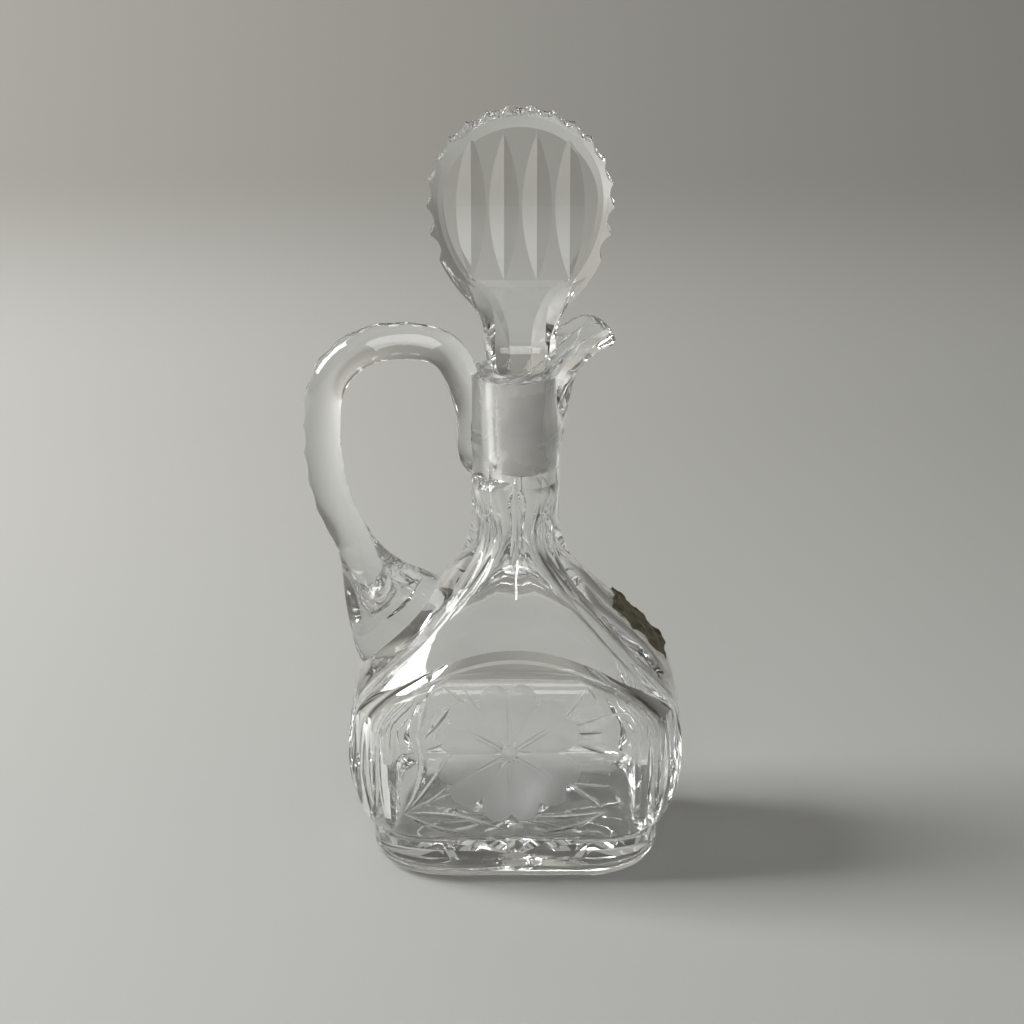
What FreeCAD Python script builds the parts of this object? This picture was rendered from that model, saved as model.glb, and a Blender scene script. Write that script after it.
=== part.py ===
import FreeCAD, Part
import math
import os
import Sketcher

# A cut-glass liqueur carafe: a squat flask with a raised belt, bell shoulders, a slim neck with a
# pulled pouring lip, a handle applied on the left, a ground stopper with a round cut finial and a
# bare foil label. Millimetres. +Z is up, the front faces -Y, the lip points along +X and the
# handle along -X. The origin is the middle of the foot.

V = FreeCAD.Vector
UP = V(0, 0, 1)
doc = FreeCAD.newDocument("Carafe")

# ---------------------------------------------------------------- driving dimensions

SIZES = [
    # foot and belt
    ("foot_inset", 7.0, "foot inside the belt's ends"),
    ("foot_face_inset", 2.0, "foot inside the belt's flat faces"),
    ("foot_height", 14.5, "table to the belt's lower edge"),
    ("foot_round", 7.5, "rounding under the foot"),
    ("belt_width", 94.0, "belt at its widest"),
    ("belt_depth", 66.0, "belt, front face to back face"),
    ("end_tuck", 4.7, "how far the belt's ends draw in at its lower edge"),
    ("face_tuck", 1.5, "how far its flat faces draw in there"),
    ("swell_rise", 18.5, "belt's widest line above its lower edge"),
    ("corner_round", 20.0, "radius of the belt's upright corners"),
    ("ledge", 0.9, "how proud of the shoulder the belt stands"),
    ("arch_bevel", 3.6, "height of the bright band under the arch"),
    # upright cuts round the belt's ends
    ("flute_width", 6.4, "upright mitre cuts, side by side"),
    ("flute_depth", 1.7, "upright mitre cuts"),
    ("flute_bend", 120.0, "radius along which a cut follows the belt"),
    ("flute_span", 26.0, "degrees of that radius that a cut runs along"),
    ("flute_count", 6.0, "cuts round each quarter of the belt"),
    # shoulder and neck
    ("shoulder_rise", 15.0, "foot of the bell shoulder above the belt's widest line"),
    ("shoulder_inset", 1.8, "foot of the bell inside the belt's ends"),
    ("face_cut", 15.0, "how much of the bell the flat front cuts away, and the flat back"),
    ("bell_height", 49.0, "bell, from its foot up to the neck"),
    ("neck_width", 24.6, "neck across its side panels"),
    ("neck_depth", 24.2, "neck across its front panels"),
    ("neck_height", 19.0, "neck, up to the round mouth"),
    ("mouth_radius", 12.7, "outside of the round mouth"),
    ("neck_flare", 9.0, "how far the round neck spreads at its foot"),
    ("neck_flare_drop", 12.0, "how far down the shoulder it spreads"),
    ("neck_cut_width", 1.9, "slim cut down the middle of the neck's front and back"),
    ("neck_cut_depth", 0.7, "slim cut down the neck"),
    ("mouth_height", 25.5, "round mouth, up to the lowest part of its rim"),
    ("lip_rise", 14.0, "top of the pouring lip above the rim"),
    ("lip_spout", 14.8, "how far the lip is pulled out beyond the mouth"),
    ("lip_wall", 2.6, "glass at the lip"),
    # hollow
    ("wall", 5.6, "glass at the belt"),
    ("floor", 9.5, "glass under the liqueur"),
    ("hollow_corner", 15.0, "upright corners of the hollow"),
    ("hollow_round", 11.0, "rounding round the floor"),
    ("bore_step", 0.3, "step from the ground seat in to the bore below it"),
    # ground seat and stopper
    ("bore_shift", 1.4, "the ground seat sits off the body's axis"),
    ("plug_sink", 0.5, "ground plug's upper end below the rim"),
    ("plug_length", 30.0, "ground plug"),
    ("plug_top", 15.6, "ground plug's upper diameter"),
    ("plug_tip", 13.2, "ground plug's lower diameter"),
    ("seat_gap", 0.15, "clearance of the plug in its seat"),
    ("plug_dome", 2.2, "rise of the plug's domed end"),
    ("stem_sides", 10.0, "flat sides ground round the stem"),
    ("waist_rise", 10.0, "top of the stem's straight part above the plug"),
    ("waist_width", 19.5, "stem at its waist"),
    ("finial_radius", 25.4, "round finial"),
    ("finial_rise", 38.3, "finial's centre above the waist"),
    ("cheek_radius", 40.0, "finial's fuller sides below its centre"),
    ("finial_thick", 10.5, "finial, front to back"),
    ("bevel_width", 4.4, "ground bevel round both faces, across the face"),
    ("bevel_drop", 1.9, "ground bevel, down the edge"),
    ("scallop_count", 13.0, "scallops over the finial's top"),
    ("scallop_pitch", 14.3, "degrees between scallops"),
    ("scallop_radius", 5.0, "wheel that cuts the scallops"),
    ("scallop_depth", 1.2, "scallops over the top"),
    ("cheek_pitch", 11.2, "degrees between scallops down the sides"),
    ("cheek_depth", 1.7, "scallops down the sides"),
    ("mitre_count", 4.0, "upright cuts on the finial's front"),
    ("mitre_drop", 1.0, "middle of the cuts below the finial's centre"),
    ("mitre_pitch", 8.9, "between the four upright cuts"),
    ("mitre_length", 41.0, "upright cuts"),
    ("mitre_width", 8.0, "upright cuts"),
    ("mitre_depth", 1.9, "upright cuts"),
    # handle
    ("handle_thick", 10.6, "handle rod"),
    ("handle_reach", 53.5, "handle's centre line, furthest from the axis"),
    ("handle_rise", 7.7, "handle's centre line above the rim, at its highest"),
    ("handle_stand", 1.6, "centre line from the mouth's side where the handle leaves it"),
    ("neck_bend", 13.0, "radius of the handle's bend beside the neck"),
    ("crown_bend", 20.0, "radius of its bend over the top"),
    ("handle_straight", 8.0, "straight run below that bend"),
    ("handle_sweep", 58.0, "radius of its long sweep down"),
    ("handle_lean", 31.0, "degrees that the sweep turns in"),
    ("thumb_count", 10.0, "hollows ground along the handle"),
    ("thumb_start", 20.0, "first hollow, in hundredths of the way along the handle"),
    ("thumb_pitch", 7.9, "between hollows, in hundredths of the way along"),
    ("thumb_radius", 11.0, "wheel that grinds the hollows"),
    ("thumb_depth", 0.9, "hollows along the handle, how deep"),
    ("pad_long", 31.6, "handle's pressed foot, down the shoulder"),
    ("pad_wide", 22.0, "handle's pressed foot, front to back"),
    ("pad_share", 0.56, "where it sits, from the neck at 0 to the shoulder's foot at 1"),
    # star under the foot
    ("star_rays", 16.0, "mitre cuts in the star"),
    ("star_button", 3.0, "radius of the plain button in its middle"),
    ("star_depth", 1.5, "star cuts"),
    ("star_spread", 1.7, "half a cut's width for each millimetre of its depth"),
    ("star_margin", 0.5, "from the star's points to the foot's rounding"),
    # label
    ("label_thick", 0.5, "foil label"),
    ("label_gap", 0.15, "glue line under the label"),
    ("label_long", 21.0, "label down the slope"),
    ("label_wide", 17.0, "label, front to back"),
    ("label_rise", 18.5, "middle of the label above the bell's foot"),
]

# Sizes and heights above the table that follow from the ones above.
FOLLOWING = [
    ("foot_width", "belt_width - 2 * foot_inset", "foot, left to right"),
    ("foot_depth", "belt_depth - 2 * foot_face_inset", "foot, front to back"),
    ("swell_level", "foot_height + swell_rise", "belt's widest line"),
    ("shoulder_level", "swell_level + shoulder_rise", "foot of the bell"),
    ("shoulder_width", "belt_width - 2 * shoulder_inset", "bell at its foot, left to right"),
    ("shoulder_depth", "belt_depth + 2 * face_cut", "bell at its foot, before the faces cut it"),
    ("neck_level", "shoulder_level + bell_height", "foot of the neck"),
    ("mouth_level", "neck_level + neck_height", "foot of the round mouth"),
    ("rim_level", "mouth_level + mouth_height", "lowest part of the rim"),
    ("lip_level", "rim_level + lip_rise", "top of the pouring lip"),
    ("lip_reach", "mouth_radius + lip_spout", "pouring lip's tip from the axis"),
    ("neck_bore", "plug_tip - 2 * bore_step", "clear bore below the ground seat"),
    ("plug_top_level", "rim_level - plug_sink", "upper end of the ground plug"),
    ("handle_top", "rim_level + handle_rise", "highest point of the handle's centre line"),
    ("label_level", "shoulder_level + label_rise", "middle of the label"),
]

sheet = doc.addObject("Spreadsheet::Sheet", "Sizes")
for row, (alias, amount, meaning) in enumerate(SIZES + FOLLOWING, start=1):
    sheet.set("A%d" % row, meaning)
    sheet.set("B%d" % row, "=%s" % amount)
    sheet.setAlias("B%d" % row, alias)
doc.recompute()


def number(expression):
    """The value that an expression over the sheet has now."""
    return float(sheet.evalExpression(str(expression)))


def bind(thing, **expressions):
    """Ties properties to the sheet. Two underscores stand for a dot in a property's path."""
    for name, expression in expressions.items():
        thing.setExpression(name.replace("__", "."), str(expression))


# ---------------------------------------------------------------- sections for the lofts

def flat_sketch(name, level):
    """An empty sketch lying flat at a level above the table."""
    sketch = doc.addObject("Sketcher::SketchObject", name)
    sketch.Placement = FreeCAD.Placement(V(0, 0, number(level)), FreeCAD.Rotation())
    bind(sketch, Placement__Base__z=level)
    return sketch


def rule(sketch, *facts):
    """Adds a constraint that has no size."""
    sketch.addConstraint(Sketcher.Constraint(*facts))


def dimension(sketch, name, expression, *facts):
    """Adds a named dimension that follows the sheet."""
    index = sketch.addConstraint(Sketcher.Constraint(*facts, number(expression)))
    sketch.renameConstraint(index, name)
    bind(sketch, **{"Constraints__" + name: expression})


def bow_radius(half_chord, rise):
    """The radius of an arc from its half chord and its rise, as an expression."""
    return "((%s)^2 + (%s)^2) / (2 * (%s))" % (half_chord, rise, rise)


def panel_section(name, level, half_wide, half_deep, ridge_wide, ridge_deep):
    """Four bowed panels that meet in four sharp ridges."""
    sketch = flat_sketch(name, level)
    a, b, p, q = (number(text) for text in (half_wide, half_deep, ridge_wide, ridge_deep))
    corners = [V(p, -q, 0), V(p, q, 0), V(-p, q, 0), V(-p, -q, 0)]
    middles = [V(a, 0, 0), V(0, b, 0), V(-a, 0, 0), V(0, -b, 0)]
    for side in range(4):
        sketch.addGeometry(Part.Arc(corners[side], middles[side], corners[(side + 1) % 4]), False)
    for side in range(4):
        rule(sketch, "Coincident", side, 2, (side + 1) % 4, 1)
    rule(sketch, "Symmetric", 0, 1, 0, 2, -1)
    rule(sketch, "Symmetric", 0, 2, 1, 2, -2)
    rule(sketch, "Symmetric", 1, 2, 2, 2, -1)
    rule(sketch, "Equal", 0, 2)
    rule(sketch, "Equal", 1, 3)
    dimension(sketch, "ridge_wide", ridge_wide, "DistanceX", -1, 1, 0, 2)
    dimension(sketch, "ridge_deep", ridge_deep, "DistanceY", -1, 1, 0, 2)
    side_rise = "(%s) - (%s)" % (half_wide, ridge_wide)
    face_rise = "(%s) - (%s)" % (half_deep, ridge_deep)
    dimension(sketch, "side_bow", bow_radius(ridge_deep, side_rise), "Radius", 0)
    dimension(sketch, "face_bow", bow_radius(ridge_wide, face_rise), "Radius", 1)
    return sketch


def rounded_section(name, level, half_wide, half_deep, corner):
    """A rectangle with rounded corners: corner arcs 0 to 3, then the sides 4 to 7 between them."""
    sketch = flat_sketch(name, level)
    a, b, r = (number(text) for text in (half_wide, half_deep, corner))
    centres = [V(a - r, b - r, 0), V(r - a, b - r, 0), V(r - a, r - b, 0), V(a - r, r - b, 0)]
    spokes = [V(r, 0, 0), V(0, r, 0), V(-r, 0, 0), V(0, -r, 0)]
    for turn, centre in enumerate(centres):
        first = spokes[turn]
        last = spokes[(turn + 1) % 4]
        halfway = (first + last) * math.sqrt(0.5)
        sketch.addGeometry(Part.Arc(centre + first, centre + halfway, centre + last), False)
    for turn, centre in enumerate(centres):
        spoke = spokes[(turn + 1) % 4]
        sketch.addGeometry(Part.LineSegment(centre + spoke, centres[(turn + 1) % 4] + spoke), False)
    for turn in range(4):
        rule(sketch, "Tangent", turn, 2, 4 + turn, 1)
        rule(sketch, "Tangent", 4 + turn, 2, (turn + 1) % 4, 1)
        rule(sketch, "Vertical" if turn % 2 else "Horizontal", 4 + turn)
    for turn in range(1, 4):
        rule(sketch, "Equal", 0, turn)
    rule(sketch, "Symmetric", 0, 3, 2, 3, -1, 1)
    dimension(sketch, "corner", corner, "Radius", 0)
    dimension(sketch, "centre_wide", "(%s) - (%s)" % (half_wide, corner), "DistanceX", -1, 1, 0, 3)
    dimension(sketch, "centre_deep", "(%s) - (%s)" % (half_deep, corner), "DistanceY", -1, 1, 0, 3)
    return sketch


def lip_section(name, level, radius, nose_centre, nose_radius):
    """A round mouth drawn out to a nose along +X: big arc, side, nose, side."""
    sketch = flat_sketch(name, level)
    big, far, small = (number(text) for text in (radius, nose_centre, nose_radius))
    slant = math.acos((big - small) / far)
    touch = V(math.cos(slant), math.sin(slant), 0)
    mirror = V(touch.x, -touch.y, 0)
    nose = V(far, 0, 0)
    sketch.addGeometry(Part.Arc(touch * big, V(-big, 0, 0), mirror * big), False)
    sketch.addGeometry(Part.LineSegment(mirror * big, nose + mirror * small), False)
    sketch.addGeometry(Part.Arc(nose + mirror * small, nose + V(small, 0, 0), nose + touch * small), False)
    sketch.addGeometry(Part.LineSegment(nose + touch * small, touch * big), False)
    for piece in range(4):
        rule(sketch, "Tangent", piece, 2, (piece + 1) % 4, 1)
    rule(sketch, "Coincident", 0, 3, -1, 1)
    rule(sketch, "PointOnObject", 2, 3, -1)
    dimension(sketch, "mouth", radius, "Radius", 0)
    dimension(sketch, "nose", nose_radius, "Radius", 2)
    dimension(sketch, "reach", nose_centre, "DistanceX", -1, 1, 2, 3)
    return sketch


def loft(name, sections):
    """A solid drawn smoothly through its sections."""
    body = doc.addObject("Part::Loft", name)
    body.Sections = sections
    body.Solid = True
    return body


def fuse(name, *shapes):
    joined = doc.addObject("Part::MultiFuse", name)
    joined.Shapes = list(shapes)
    return joined


def compound(name, *shapes):
    together = doc.addObject("Part::Compound", name)
    together.Links = list(shapes)
    return together


def common(name, *shapes):
    shared = doc.addObject("Part::MultiCommon", name)
    shared.Shapes = list(shapes)
    return shared


def cut(name, base, tool):
    rest = doc.addObject("Part::Cut", name)
    rest.Base = base
    rest.Tool = tool
    return rest


# ---------------------------------------------------------------- shoulder, belt and foot

def ease(t):
    """A smooth step from 0 to 1: the S-curve of the shoulder."""
    return t * t * (3 - 2 * t)


def between(start, end, share):
    """An expression that lies a share of the way from one expression to another."""
    return "(%s) + ((%s) - (%s)) * %.5f" % (start, end, start, share)


def bell(name, shares, drop="0", swell="0", flare=0.0):
    """Neck and shoulder in one sweep of four panels, whose ridges run down to the belt's corners.

    A share of 0 is the foot of the neck and 1 the foot of the shoulder. Past 1 the sweep goes on
    straight down, or flares out. Above the neck the panels lean out, as a wheel leaves the glass."""
    sections = []
    for share in shares:
        t = min(max(share, 0.0), 1.0)
        level = between("Sizes.neck_level", "Sizes.shoulder_level", share) + " - " + drop
        more = " + %s + %.3f" % (swell, flare * max(share - 1.0, 0.0) + 50 * min(share + 0.38, 0.0) ** 2)
        wide = between("Sizes.neck_width / 2", "Sizes.shoulder_width / 2", ease(t)) + more
        deep = between("Sizes.neck_depth / 2", "Sizes.shoulder_depth / 2", ease(t)) + more
        ridge_wide = "(%s) * %.4f" % (wide, 0.585 + 0.37 * t)
        ridge_deep = "(%s) * %.4f" % (deep, 0.865 - 0.26 * t)
        label = "%s%d" % (name, len(sections))
        sections.append(panel_section(label, level, wide, deep, ridge_wide, ridge_deep))
    return loft(name, sections)


NECK_TO_SHOULDER = (-0.38, -0.18, 0.0, 0.14, 0.28, 0.42, 0.56, 0.70, 0.85, 1.0)
PANEL_ENDS = (-0.62, -0.50)


def upright_block(name, inset, level, height):
    """The belt's plan, drawn in by an inset and drawn straight up."""
    plan = rounded_section(
        name + "Plan", level, "Sizes.belt_width / 2 - " + inset,
        "Sizes.belt_depth / 2 - " + inset, "Sizes.corner_round - " + inset)
    block = doc.addObject("Part::Extrusion", name)
    block.Base = plan
    block.DirMode = "Custom"
    block.Dir = UP
    block.Solid = True
    bind(block, LengthFwd=height)
    return block


def turned_neck():
    """The round neck that the four panels are ground into: it shows again where they run out."""
    side = number("Sizes.mouth_radius")
    wide = number("Sizes.belt_width")
    start = number("Sizes.neck_level")
    stop = number("Sizes.mouth_level")
    foot = start - number("Sizes.neck_flare_drop")
    spread = side + number("Sizes.neck_flare")
    profile = doc.addObject("Part::Polygon", "NeckProfile")
    profile.Nodes = [
        V(0, 0, 0), V(wide, 0, 0), V(wide, 0, foot), V(spread, 0, foot),
        V(side, 0, start + 3), V(side, 0, stop + 4), V(side - 0.25, 0, stop + 9), V(0, 0, stop + 9)]
    profile.Close = True
    turned = doc.addObject("Part::Revolution", "TurnedNeck")
    turned.Source = profile
    turned.Axis = UP
    turned.Angle = 360
    turned.Solid = True
    return turned


def front_of_bell(share):
    """The bell's front at a share of its sweep: how far out, and how high."""
    t = ease(min(max(share, 0.0), 1.0))
    out = number(between("Sizes.neck_depth / 2", "Sizes.shoulder_depth / 2", t))
    return out, number(between("Sizes.neck_level", "Sizes.shoulder_level", share))


def neck_cut(face):
    """A slim pointed cut down the middle of the neck's front or back, on to the shoulder."""
    sections = []
    for share, full in ((-0.37, 0.06), (-0.30, 0.50), (-0.20, 0.80), (-0.05, 1.0),
                        (0.08, 1.0), (0.18, 0.85), (0.26, 0.55), (0.33, 0.06)):
        out, level = front_of_bell(share)
        depth = number("Sizes.neck_cut_depth") * full
        half = number("Sizes.neck_cut_width / 2") * full
        mouth = 2.0
        profile = doc.addObject("Part::Polygon", "NeckCutProfile")
        profile.Nodes = [
            V(0, face * (out - depth), level),
            V(half * (depth + mouth) / depth, face * (out + mouth), level),
            V(-half * (depth + mouth) / depth, face * (out + mouth), level)]
        profile.Close = True
        sections.append(profile)
    return loft("NeckCut", sections)


def shoulder():
    """The bell, kept within the belt's plan, so that its front and back end in arches."""
    sweep = bell("Bell", PANEL_ENDS + NECK_TO_SHOULDER + (1.25,))
    block = upright_block("ShoulderBlock", "Sizes.ledge", "Sizes.swell_level", "Sizes.mouth_level")
    plain = common("PlainShoulder", sweep, block, turned_neck())
    return cut("Shoulder", plain, compound("NeckCuts", neck_cut(1), neck_cut(-1)))


def belt():
    """The belt bulges like a barrel at its ends; its upper edge follows the bell a little lower."""
    sections = []
    for level, share in (
        ("Sizes.foot_height", 1.0),
        ("Sizes.foot_height + 4.5", 0.52),
        ("Sizes.foot_height + 11", 0.16),
        ("Sizes.swell_level", 0.0),
        ("Sizes.swell_level + 12", 0.25),
        ("Sizes.swell_level + 26", 0.75),
        ("Sizes.swell_level + 42", 1.2),
    ):
        wide = "Sizes.belt_width / 2 - Sizes.end_tuck * %.2f" % share
        deep = "Sizes.belt_depth / 2 - Sizes.face_tuck * %.2f" % min(share, 0.25 + 0.75 * (share == 1.0))
        label = "Barrel%d" % len(sections)
        sections.append(rounded_section(label, level, wide, deep, "Sizes.corner_round"))
    barrel = loft("Barrel", sections)
    cap = bell("Cap", NECK_TO_SHOULDER + (1.15, 1.3, 1.5, 1.7, 1.9), "Sizes.arch_bevel", "Sizes.ledge", 12.0)
    return common("PlainBelt", barrel, cap)


def flute_cutters():
    """Upright mitre cuts side by side round both ends of the belt, each bent with the barrel.

    They come as two groups, every other cut in each, so that no two of a group overlap."""
    bend = number("Sizes.flute_bend")
    tall = 1.5 * number("Sizes.flute_depth")
    half = 0.75 * number("Sizes.flute_width")
    edge = doc.addObject("Part::Polygon", "FluteProfile")
    edge.Nodes = [V(bend, 0, 0), V(bend + tall, half, 0), V(bend + tall, -half, 0)]
    edge.Close = True
    step = math.degrees(number("Sizes.flute_width / Sizes.corner_round"))
    count = int(number("Sizes.flute_count"))
    groups = ([], [])
    for right in (1, -1):
        for back in (1, -1):
            for place in range(count):
                turn = max(place - 1.5, 0) * step
                out = "(Sizes.corner_round - Sizes.flute_depth - Sizes.flute_bend)"
                wide = "Sizes.belt_width / 2 - Sizes.corner_round + %s * cos(%.3f)" % (out, turn)
                deep = "Sizes.belt_depth / 2 - Sizes.corner_round + %s * sin(%.3f)" % (out, turn)
                if place < 2:
                    deep = "Sizes.flute_width * %.1f" % (place + 0.5)
                cutter = doc.addObject("Part::Revolution", "FluteCutter")
                cutter.Source = edge
                cutter.Axis = V(0, 1, 0)
                cutter.Base = V(0, 0, 0)
                cutter.Symmetric = True
                cutter.Solid = True
                facing = back * turn if right > 0 else 180 - back * turn
                cutter.Placement = FreeCAD.Placement(V(0, 0, 0), FreeCAD.Rotation(UP, facing))
                bind(cutter,
                     Angle="Sizes.flute_span",
                     Placement__Base__x="%d * (%s)" % (right, wide),
                     Placement__Base__y="%d * (%s)" % (back, deep),
                     Placement__Base__z="Sizes.swell_level")
                groups[(place + (back < 0)) % 2].append(cutter)
    return [compound("FluteCutters", *group) for group in groups]


def foot():
    """A rounded block under the belt, well rounded below."""
    plan = rounded_section("FootPlan", "0", "Sizes.foot_width / 2", "Sizes.foot_depth / 2",
                           "Sizes.corner_round")
    block = doc.addObject("Part::Extrusion", "FootBlock")
    block.Base = plan
    block.DirMode = "Custom"
    block.Dir = UP
    block.Solid = True
    bind(block, LengthFwd="Sizes.foot_height + 1")
    return rounded_below("Foot", block, "Sizes.foot_round")


def rounded_below(name, block, radius):
    """Rounds the edges round a block's underside."""
    doc.recompute()
    low = block.Shape.BoundBox.ZMin
    rounding = doc.addObject("Part::Fillet", name)
    rounding.Base = block
    size = number(radius)
    rounding.Edges = [
        (index, size, size) for index, edge in enumerate(block.Shape.Edges, start=1)
        if edge.BoundBox.ZMax < low + 0.01
    ]
    return rounding


# ---------------------------------------------------------------- mouth and pouring lip

def rim_cutter():
    """Everything above the rim, whose edge climbs from the handle's side to the lip's top."""
    low = number("Sizes.rim_level")
    high = number("Sizes.lip_level")
    tip = number("Sizes.lip_reach")
    back = number("Sizes.mouth_radius")
    edge = Part.BSplineCurve()
    edge.interpolate([
        V(-back - 8, 0, low + 1.5), V(-0.35 * back, 0, low - 0.3),
        V(0.25 * tip, 0, low + 0.30 * (high - low)),
        V(0.5 * tip, 0, low + 0.75 * (high - low)), V(0.76 * tip, 0, high), V(tip - 1, 0, high - 3.5),
        V(tip + 3, 0, high - 9)])
    top = high + 12
    outline = Part.Wire([
        edge.toShape(),
        Part.makeLine(edge.EndPoint, V(tip + 3, 0, top)),
        Part.makeLine(V(tip + 3, 0, top), V(-back - 8, 0, top)),
        Part.makeLine(V(-back - 8, 0, top), edge.StartPoint)])
    width = 4 * back
    cutter = doc.addObject("Part::Feature", "RimCutter")
    cutter.Shape = Part.Face(outline).extrude(V(0, width, 0))
    cutter.Placement = FreeCAD.Placement(V(0, -width / 2, 0), FreeCAD.Rotation())
    return cutter


def lip_blank():
    """The round mouth, pulled out into a lip.

    Each row gives a level, the mouth's radius and the nose's as shares of the mouth radius, and
    the nose's centre as a share of the lip's reach."""
    sections = []
    for level, round_share, centre_share, nose_share in (
        ("Sizes.mouth_level - 4", 0.874, 0.0223, 0.850),
        ("Sizes.mouth_level + 3", 0.976, 0.0240, 0.953),
        ("Sizes.mouth_level + 9", 1.0, 0.0636, 0.945),
        ("Sizes.rim_level - 9", 1.0, 0.1595, 0.835),
        ("Sizes.rim_level - 3", 1.0, 0.2605, 0.724),
        ("Sizes.rim_level + 1", 1.0, 0.3864, 0.614),
        ("Sizes.rim_level + 3.8", 1.0, 0.5300, 0.520),
        ("Sizes.rim_level + 6", 1.0, 0.6905, 0.465),
        ("Sizes.rim_level + 9", 1.0, 0.7964, 0.441),
        ("Sizes.rim_level + 16", 1.0, 0.8164, 0.441),
    ):
        sections.append(lip_section(
            "Lip%d" % len(sections), level, "Sizes.mouth_radius * %.3f" % round_share,
            "Sizes.lip_reach * %.4f" % centre_share, "Sizes.mouth_radius * %.3f" % nose_share))
    return loft("LipBlank", sections)


def lip_channel():
    """The way the liqueur takes: from the round seat up past the stem and over the lip."""
    inside = "(Sizes.mouth_radius - Sizes.lip_wall)"
    sections = []
    for level, mouth, centre, nose in (
        ("Sizes.plug_top_level - 1.5", "Sizes.plug_top / 2 + 0.1", "Sizes.bore_shift",
         "Sizes.plug_top / 2 * 0.974"),
        ("Sizes.rim_level + 2", inside + " + 0.1", "Sizes.lip_reach * 0.13",
         "(%s + Sizes.plug_top / 2) * 0.48017" % inside),
        ("Sizes.rim_level + 5.5", inside + " + 0.5", "Sizes.lip_reach * 0.26", inside + " * 0.782"),
        ("Sizes.rim_level + 9.5", inside + " + 0.5", "Sizes.lip_reach * 0.62", inside + " * 0.416"),
        ("Sizes.rim_level + 17", inside + " + 0.9", "Sizes.lip_reach * 0.95", inside + " * 0.297"),
    ):
        sections.append(lip_section("Channel%d" % len(sections), level, mouth, centre, nose))
    return loft("LipChannel", sections)


# ---------------------------------------------------------------- hollow

def hollow():
    """The space inside: the outside drawn in by the wall, up to a bore through the neck."""
    sections = []
    inner_wide = "(Sizes.belt_width / 2 - Sizes.wall)"
    inner_deep = "(Sizes.belt_depth / 2 - Sizes.wall)"
    for level, share in (("Sizes.floor", 0.90), ("Sizes.floor + 9", 0.97), ("Sizes.swell_level", 1.0)):
        wide = "%s * %.2f" % (inner_wide, share)
        deep = "%s * %.2f" % (inner_deep, 0.5 + share / 2)
        sections.append((level, wide, deep, "Sizes.hollow_corner"))
    for share in (1.0, 0.84, 0.68, 0.52, 0.38, 0.24, 0.1, 0.0):
        t = ease(share)
        level = between("Sizes.neck_level - Sizes.wall * 0.7", "Sizes.shoulder_level - Sizes.wall", share)
        wide = between("Sizes.neck_bore / 2", inner_wide + " * 0.985", t)
        deep = between("Sizes.neck_bore / 2", inner_deep, min(t * 1.35, 1.0))
        corner = between("Sizes.neck_bore / 2 - 0.3", "Sizes.hollow_corner", t)
        sections.append((level, wide, deep, corner))
    sections.append(("Sizes.plug_top_level - Sizes.plug_length", wide, deep, corner))
    drawn = []
    for level, wide, deep, corner in sections:
        drawn.append(rounded_section("Hollow%d" % len(drawn), level, wide, deep, corner))
    return rounded_below("Hollow", loft("HollowBlank", drawn), "Sizes.hollow_round")


def ground_seat():
    """The tapered seat that the plug is ground into."""
    spare = 2.0
    taper = "(Sizes.plug_top - Sizes.plug_tip) / 2 / Sizes.plug_length"
    seat = doc.addObject("Part::Cone", "GroundSeat")
    bind(seat,
         Radius1="Sizes.plug_tip / 2 + Sizes.seat_gap - %s * %s" % (spare, taper),
         Radius2="Sizes.plug_top / 2 + Sizes.seat_gap",
         Height="Sizes.plug_length + %s" % spare,
         Placement__Base__x="Sizes.bore_shift",
         Placement__Base__z="Sizes.plug_top_level - Sizes.plug_length - %s" % spare)
    return seat


# ---------------------------------------------------------------- handle

def handle_path():
    """The handle's centre line as tangent arcs: up out of the neck, over, and down to the pad."""
    reach = number("Sizes.handle_reach")
    top = number("Sizes.handle_top")
    neck_side = -number("Sizes.mouth_radius + Sizes.handle_stand")
    small = number("Sizes.neck_bend")
    wide = number("Sizes.crown_bend")
    lower = number("Sizes.handle_sweep")
    lean = math.radians(number("Sizes.handle_lean"))
    turn_in = V(neck_side - small, 0, top - small)
    crown = V(-reach + wide, 0, top - wide)
    heel = V(-reach + lower, 0, crown.z - number("Sizes.handle_straight"))
    pad_start = heel + V(-math.cos(lean) * lower, 0, -math.sin(lean) * lower)
    diagonal = math.sqrt(0.5)
    return Part.Wire([
        Part.Arc(V(neck_side, 0, turn_in.z), turn_in + V(diagonal, 0, diagonal) * small,
                 V(turn_in.x, 0, top)).toShape(),
        Part.makeLine(V(turn_in.x, 0, top), V(crown.x, 0, top)),
        Part.Arc(V(crown.x, 0, top), crown + V(-diagonal, 0, diagonal) * wide,
                 V(-reach, 0, crown.z)).toShape(),
        Part.makeLine(V(-reach, 0, crown.z), V(-reach, 0, heel.z)),
        Part.Arc(V(-reach, 0, heel.z),
                 heel + V(-math.cos(lean / 2), 0, -math.sin(lean / 2)) * lower, pad_start).toShape(),
    ])


def oval(name, centre, along, thick, broad):
    """An oval section of the handle, square to the direction in which the handle runs."""
    section = doc.addObject("Part::Ellipse", name)
    across = V(0, 1, 0).cross(along)
    section.Placement = FreeCAD.Placement(centre, FreeCAD.Rotation(across, V(0, 1, 0), along, "XYZ"))
    bind(section, MajorRadius=thick, MinorRadius=broad)
    return section


def left_of_bell(share):
    """The bell's left side at a share of its sweep: the point, the way out and the way down."""
    t = min(max(share, 0.0), 1.0)
    fall = number("Sizes.neck_level - Sizes.shoulder_level")
    spread = number("(Sizes.shoulder_width - Sizes.neck_width) / 2")
    out = number("Sizes.neck_width / 2") + spread * ease(t)
    point = V(-out, 0, number("Sizes.neck_level") - fall * share)
    down = V(-spread * 6 * t * (1 - t), 0, -fall).normalize()
    return point, V(down.z, 0, -down.x), down


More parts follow.
